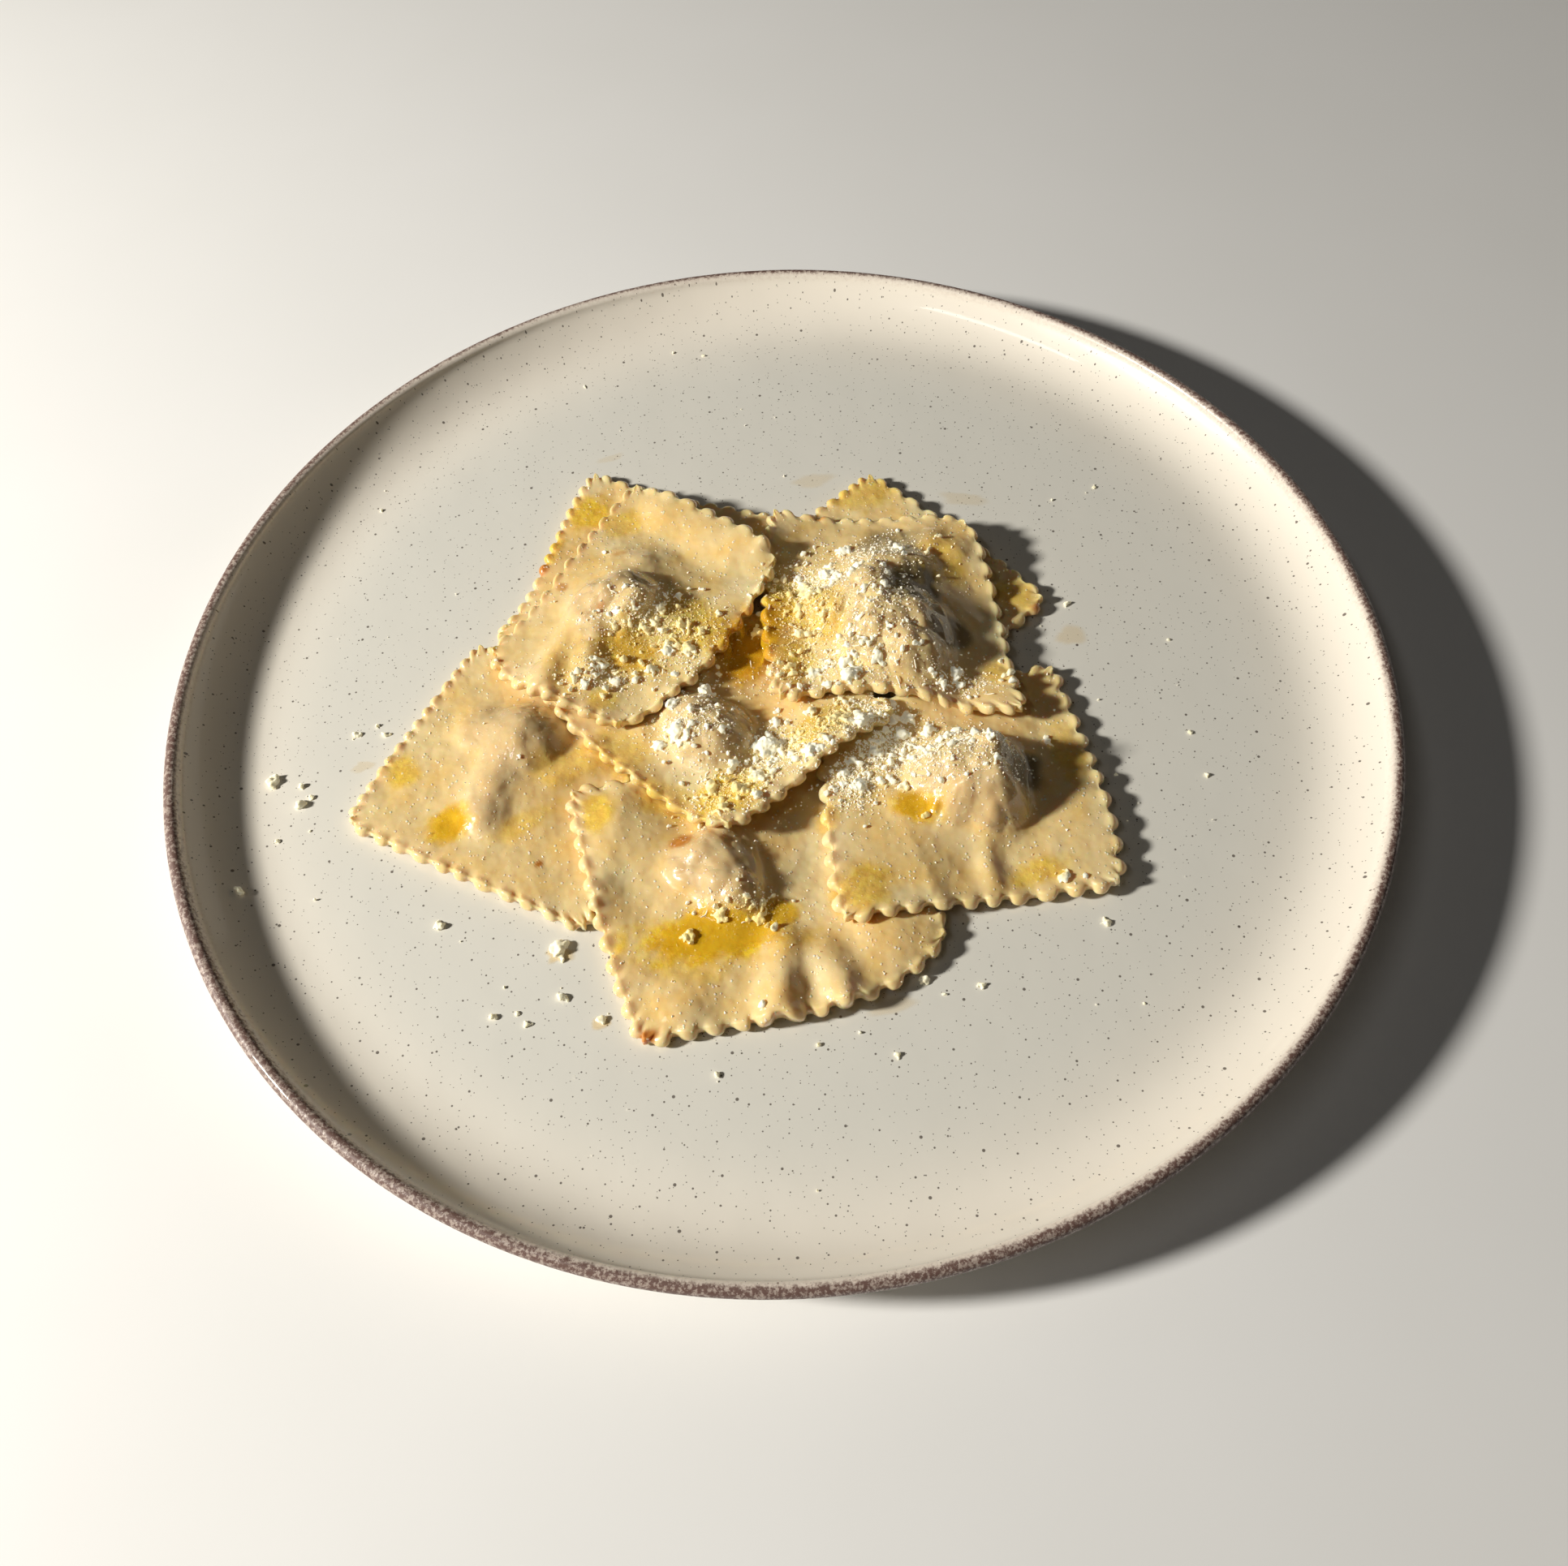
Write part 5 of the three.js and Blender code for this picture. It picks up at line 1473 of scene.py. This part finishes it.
dust_xy = dust_places(DUST_COUNT, cheese_rng)
dust_z, dust_level, dust_heap = land(*dust_xy.T)
kept = dust_heap & (dust_level > DUST_LEVEL)
dust_size = DUST_SMALLEST + DUST_LARGER * cheese_rng.random(len(dust_xy)) ** 2
dust_centres = np.column_stack([dust_xy, dust_z + DUST_PERCH * dust_size])[kept]
dust_grains = grains(OCTAHEDRON, dust_centres, dust_size[kept], cheese_rng)
add_cheese("cheese_dust", *dust_grains, DUST_FINISH, uptake=0.8)

# %% Shreds
SHRED_SIDES, SHRED_RINGS = 4, 8
# x, y, length, heading in degrees, bend in radians
SHREDS = [
    (21.5, 26, 5.5, 60, 1.6), (17, 32, 4.0, 110, 1.2), (13, 24, 3.6, 20, 1.4),
    (27, -9, 4.2, 100, 0.4), (-6, 5, 2.6, 95, 0.1), (-2.5, 1, 1.8, 70, 0.1),
    (22, 29, 2.5, 150, 0.9), (29, 22, 2.2, 10, 0.3),
]
RANDOM_SHREDS, SHRED_LENGTHS = 70, (0.9, 2.6)
SHRED_THICK, SHRED_LIFT = 0.16, 0.15
SHRED_WAVE, SHRED_WAVES = 0.25, 5  # height, and radians from end to end
STIFFNESS = 0.6  # how far a shred bridges hollows instead of following them
SHRED_OILY = 0.1


def add_shreds(rng):
    """Each shred follows an arc of the given length and bend, as a thin four-sided tube that
    narrows to both ends."""
    places = small_crumbs(RANDOM_SHREDS, rng)[:, :2]
    extra = [
        (x, y, rng.uniform(*SHRED_LENGTHS), rng.uniform(0, 180), rng.uniform(-1, 1))
        for x, y in places
    ]
    t = np.linspace(-0.5, 0.5, SHRED_RINGS)
    around = np.linspace(0, 2 * np.pi, SHRED_SIDES, endpoint=False)
    all_points, all_faces, ends, first = [], [], [], 0
    for x, y, length, turn, bend in SHREDS + extra:
        heading = math.radians(turn) + bend * t
        path_x = x + np.cumsum(np.cos(heading)) * length / SHRED_RINGS
        path_y = y + np.cumsum(np.sin(heading)) * length / SHRED_RINGS
        height, _, _ = land(path_x, path_y)
        bridge = height.max() * STIFFNESS + height * (1 - STIFFNESS)
        path_z = bridge + SHRED_LIFT + SHRED_WAVE * np.sin(SHRED_WAVES * t + turn)
        thick = SHRED_THICK * np.sqrt(np.clip(1 - (2 * t) ** 4, 0.05, 1))[:, None]
        across = np.cos(around) * thick
        ring = np.stack(
            [
                path_x[:, None] - across * np.sin(heading)[:, None],
                path_y[:, None] + across * np.cos(heading)[:, None],
                path_z[:, None] + np.sin(around) * thick,
            ],
            axis=-1,
        )
        all_points.append(ring.reshape(-1, 3))
        all_faces.append(grid_quads(SHRED_RINGS, SHRED_SIDES)[:, ::-1] + first)
        last = first + (SHRED_RINGS - 1) * SHRED_SIDES
        ends.append([first + k for k in range(SHRED_SIDES)][::-1])
        ends.append([last + k for k in range(SHRED_SIDES)])
        first += SHRED_RINGS * SHRED_SIDES
    points = np.vstack(all_points)
    faces = [np.vstack(all_faces), np.array(ends)]
    values = {"oily": np.full(len(points), SHRED_OILY)}
    add_piece("cheese_shreds", points, faces, DUST_FINISH, values)
    print("shreds:", len(SHREDS + extra))


add_shreds(cheese_rng)

# %% Crumbs that fell on the plate
# x, y, width, how many grains before GRAINS_MORE
FALLEN = [
    (-115, -16.5, 3.0, 14), (-108.5, -18, 1.6, 8), (-108, -23, 2.4, 12), (-106, -21, 1.4, 6),
    (-117.5, -45, 2.0, 10), (-74.5, -55, 2.2, 12), (-48.5, -62, 3.4, 20), (-48, -73, 2.4, 12),
    (-62, -76.5, 2.0, 10), (-39.5, -78.5, 2.0, 12), (-55, -78.5, 1.6, 8), (-57, -76, 1.2, 6),
    (-16.5, -91.5, 1.6, 8), (4, -86.5, 1.4, 6), (19.5, -89.5, 1.6, 8), (26.5, -73.5, 2.2, 10),
    (38, -75.5, 1.6, 6), (30, -77, 1.2, 5), (65.5, -63, 1.8, 8), (73.5, -27, 1.2, 5),
    (92, -17, 1.4, 6), (93.5, -28.5, 1.4, 6), (70, 21.5, 1.6, 7), (82.5, 58.5, 1.4, 6),
    (92, 9, 1.2, 5), (-47.5, 105, 1.2, 5), (-15.5, 114.5, 1.4, 6), (-98.5, 64, 1.4, 6),
    (-98, 70.5, 1.0, 4), (-97.5, -4.5, 2.0, 10), (-91, -5, 1.8, 8), (-93, -2.5, 1.4, 6),
    (-112, -32, 1.2, 5), (-105, -30, 1.0, 4), (-60, -70, 1.0, 4), (-23.5, 116, 1.2, 5),
]
SPECK_COUNT, SPECK_WIDTHS, SPECK_GRAINS = 130, (0.5, 1.1), 2
SPECKS_FROM, SPECKS_OVER, SPECKS_POWER = 60, 50, 1.5  # mm from the middle, more of them nearer
SPECKS_TOWARDS = 8  # mm that their middle lies nearer the diner
FALLEN_SEED, FALLEN_GRAIN_SHARE = 12, 0.2

fallen_rng = np.random.default_rng(FALLEN_SEED)
angle = fallen_rng.uniform(0, 2 * np.pi, SPECK_COUNT)
away = SPECKS_FROM + SPECKS_OVER * fallen_rng.random(SPECK_COUNT) ** SPECKS_POWER
speck_x, speck_y = away * np.cos(angle), away * np.sin(angle) - SPECKS_TOWARDS
speck_width = fallen_rng.uniform(*SPECK_WIDTHS, SPECK_COUNT)
specks = [(x, y, width, SPECK_GRAINS) for x, y, width in zip(speck_x, speck_y, speck_width)]
fallen_centres, fallen_sizes = pile_up(FALLEN + specks, fallen_rng, FALLEN_GRAIN_SHARE)
fallen_skin = welded(*grains(ICOSAHEDRON, fallen_centres, fallen_sizes, fallen_rng))
add_cheese("fallen_crumbs", *fallen_skin, CRUMB_FINISH, uptake=0.3)

# %% [markdown]
# ## Oil
# Melted butter and oil stand as a thin film in the hollows of the dough, and there are a few
# smears on the plate. The stain under it is already golden, so the film only adds its own
# clear yellow and its gloss. Each film is a flat lens with a wavy border that hugs what it
# lies on.

# %% Oil
# x, y, half widths, turn, thickness, opacity
FILMS_OF_OIL = [
    (-17, -62, 15.5, 5.2, 2, 0.42, 0.5), (-3, -58.5, 5, 4, 0, 0.36, 0.4),
    (-73.5, -32, 5.5, 5, 30, 0.34, 0.4), (-5, 11, 6, 9, -40, 0.34, 0.4),
    (28.5, -36, 6, 3.6, -25, 0.36, 0.4), (-33, 8, 7, 5, 20, 0.28, 0.3),
    (-40.5, 78, 5, 1.2, 20, 0.10, 0.08), (11.5, 66, 6, 2.4, 10, 0.12, 0.10),
    (50, 57, 8, 2.4, -10, 0.12, 0.10), (69.5, 12, 4, 3, 0, 0.14, 0.14),
    (-95, -13.5, 3, 1.6, 10, 0.12, 0.12), (19.5, -79, 7, 2, 10, 0.12, 0.12),
    (-49, -63, 3.5, 2.6, 0, 0.14, 0.25), (-40, -79, 2.6, 1.8, 0, 0.14, 0.25),
]
OIL_RINGS, OIL_COLUMNS = 22, 56
OIL_AMBER, OIL_YELLOW = (0.86, 0.50, 0.01), (0.90, 0.58, 0.03)
OIL_CLOUDS, OIL_RIPPLES, OIL_BUMP = 6.0, (1.8, 2.0), 0.15
BORDER_WAVE, BORDER_SIZE, BORDER_SEED = 0.3, 0.9, 500
BORDER_LOOP = 1.2  # radius of the loop through the noise that waves a border
OIL_SUNK, OIL_BELOW = 0.03, 0.2  # mm under the surface, at the border and at the bottom
OIL_FADE = (0.55, 1.0)


def oil_finish():
    """Clear yellow with a wet gloss, as opaque as its attribute says."""
    oil = Finish("golden_oil", Roughness=0.06, Coat_Weight=1.0, Coat_Roughness=0.02, IOR=1.47)
    oil.feed("Base Color", oil.mix(oil.noise(OIL_CLOUDS), OIL_AMBER, OIL_YELLOW))
    oil.feed("Alpha", oil.attribute("opacity"))
    oil.bump(oil.noise(*OIL_RIPPLES), OIL_BUMP)
    return oil.material


def add_oil(films, finish):
    """A polar grid: its border is a circle stretched to the half widths and waved by noise.
    The top stands off the surface by the thickness times (1 - share^4), the bottom is just
    under the surface."""
    share = np.linspace(0.02, 1, OIL_RINGS)[:, None]
    around = np.linspace(0, 2 * np.pi, OIL_COLUMNS, endpoint=False)[None]
    all_points, all_faces, opacity, first = [], [], [], 0
    for k, (x, y, along, across, turn, thickness, cover) in enumerate(films):
        loop_x, loop_y = BORDER_LOOP * np.cos(around), BORDER_LOOP * np.sin(around)
        wave = 1 + BORDER_WAVE * rough(loop_x, loop_y, BORDER_SIZE, BORDER_SEED + k, 3)
        u, v = share * wave * along * np.cos(around), share * wave * across * np.sin(around)
        u, v = turned(u, v, math.radians(turn))
        px, py = x + u, y + v
        height = land(px.ravel(), py.ravel())[0].reshape(px.shape)
        top = height + thickness * (1 - share**4) - OIL_SUNK
        rows = np.concatenate([top, height[::-1] - OIL_BELOW])
        grid = np.stack([np.vstack([px, px[::-1]]), np.vstack([py, py[::-1]]), rows], axis=-1)
        poles = grid[[0, -1]].mean(axis=1)
        all_points.append(np.vstack([grid.reshape(-1, 3), poles]))
        count, ring = 2 * OIL_RINGS, np.arange(OIL_COLUMNS)
        following, last, pole = np.roll(ring, -1), (count - 1) * OIL_COLUMNS, count * OIL_COLUMNS
        cap = np.stack([np.full(OIL_COLUMNS, pole), ring, following], axis=-1)
        base = np.stack([np.full(OIL_COLUMNS, pole + 1), last + following, last + ring], axis=-1)
        quads = grid_quads(count, OIL_COLUMNS)
        all_faces.append([quads + first, cap + first, base + first])
        fade = cover * (1 - step(*OIL_FADE, np.vstack([share, share[::-1]])))
        opacity.append(np.append(np.broadcast_to(fade, rows.shape).ravel(), [cover, cover]))
        first += pole + 2
    faces = [np.vstack(sets) for sets in zip(*all_faces)]
    values = {"opacity": np.concatenate(opacity)}
    add_piece("oil_film", np.vstack(all_points), faces, finish, values)
    print("films of oil:", len(films))


add_oil(FILMS_OF_OIL, oil_finish())
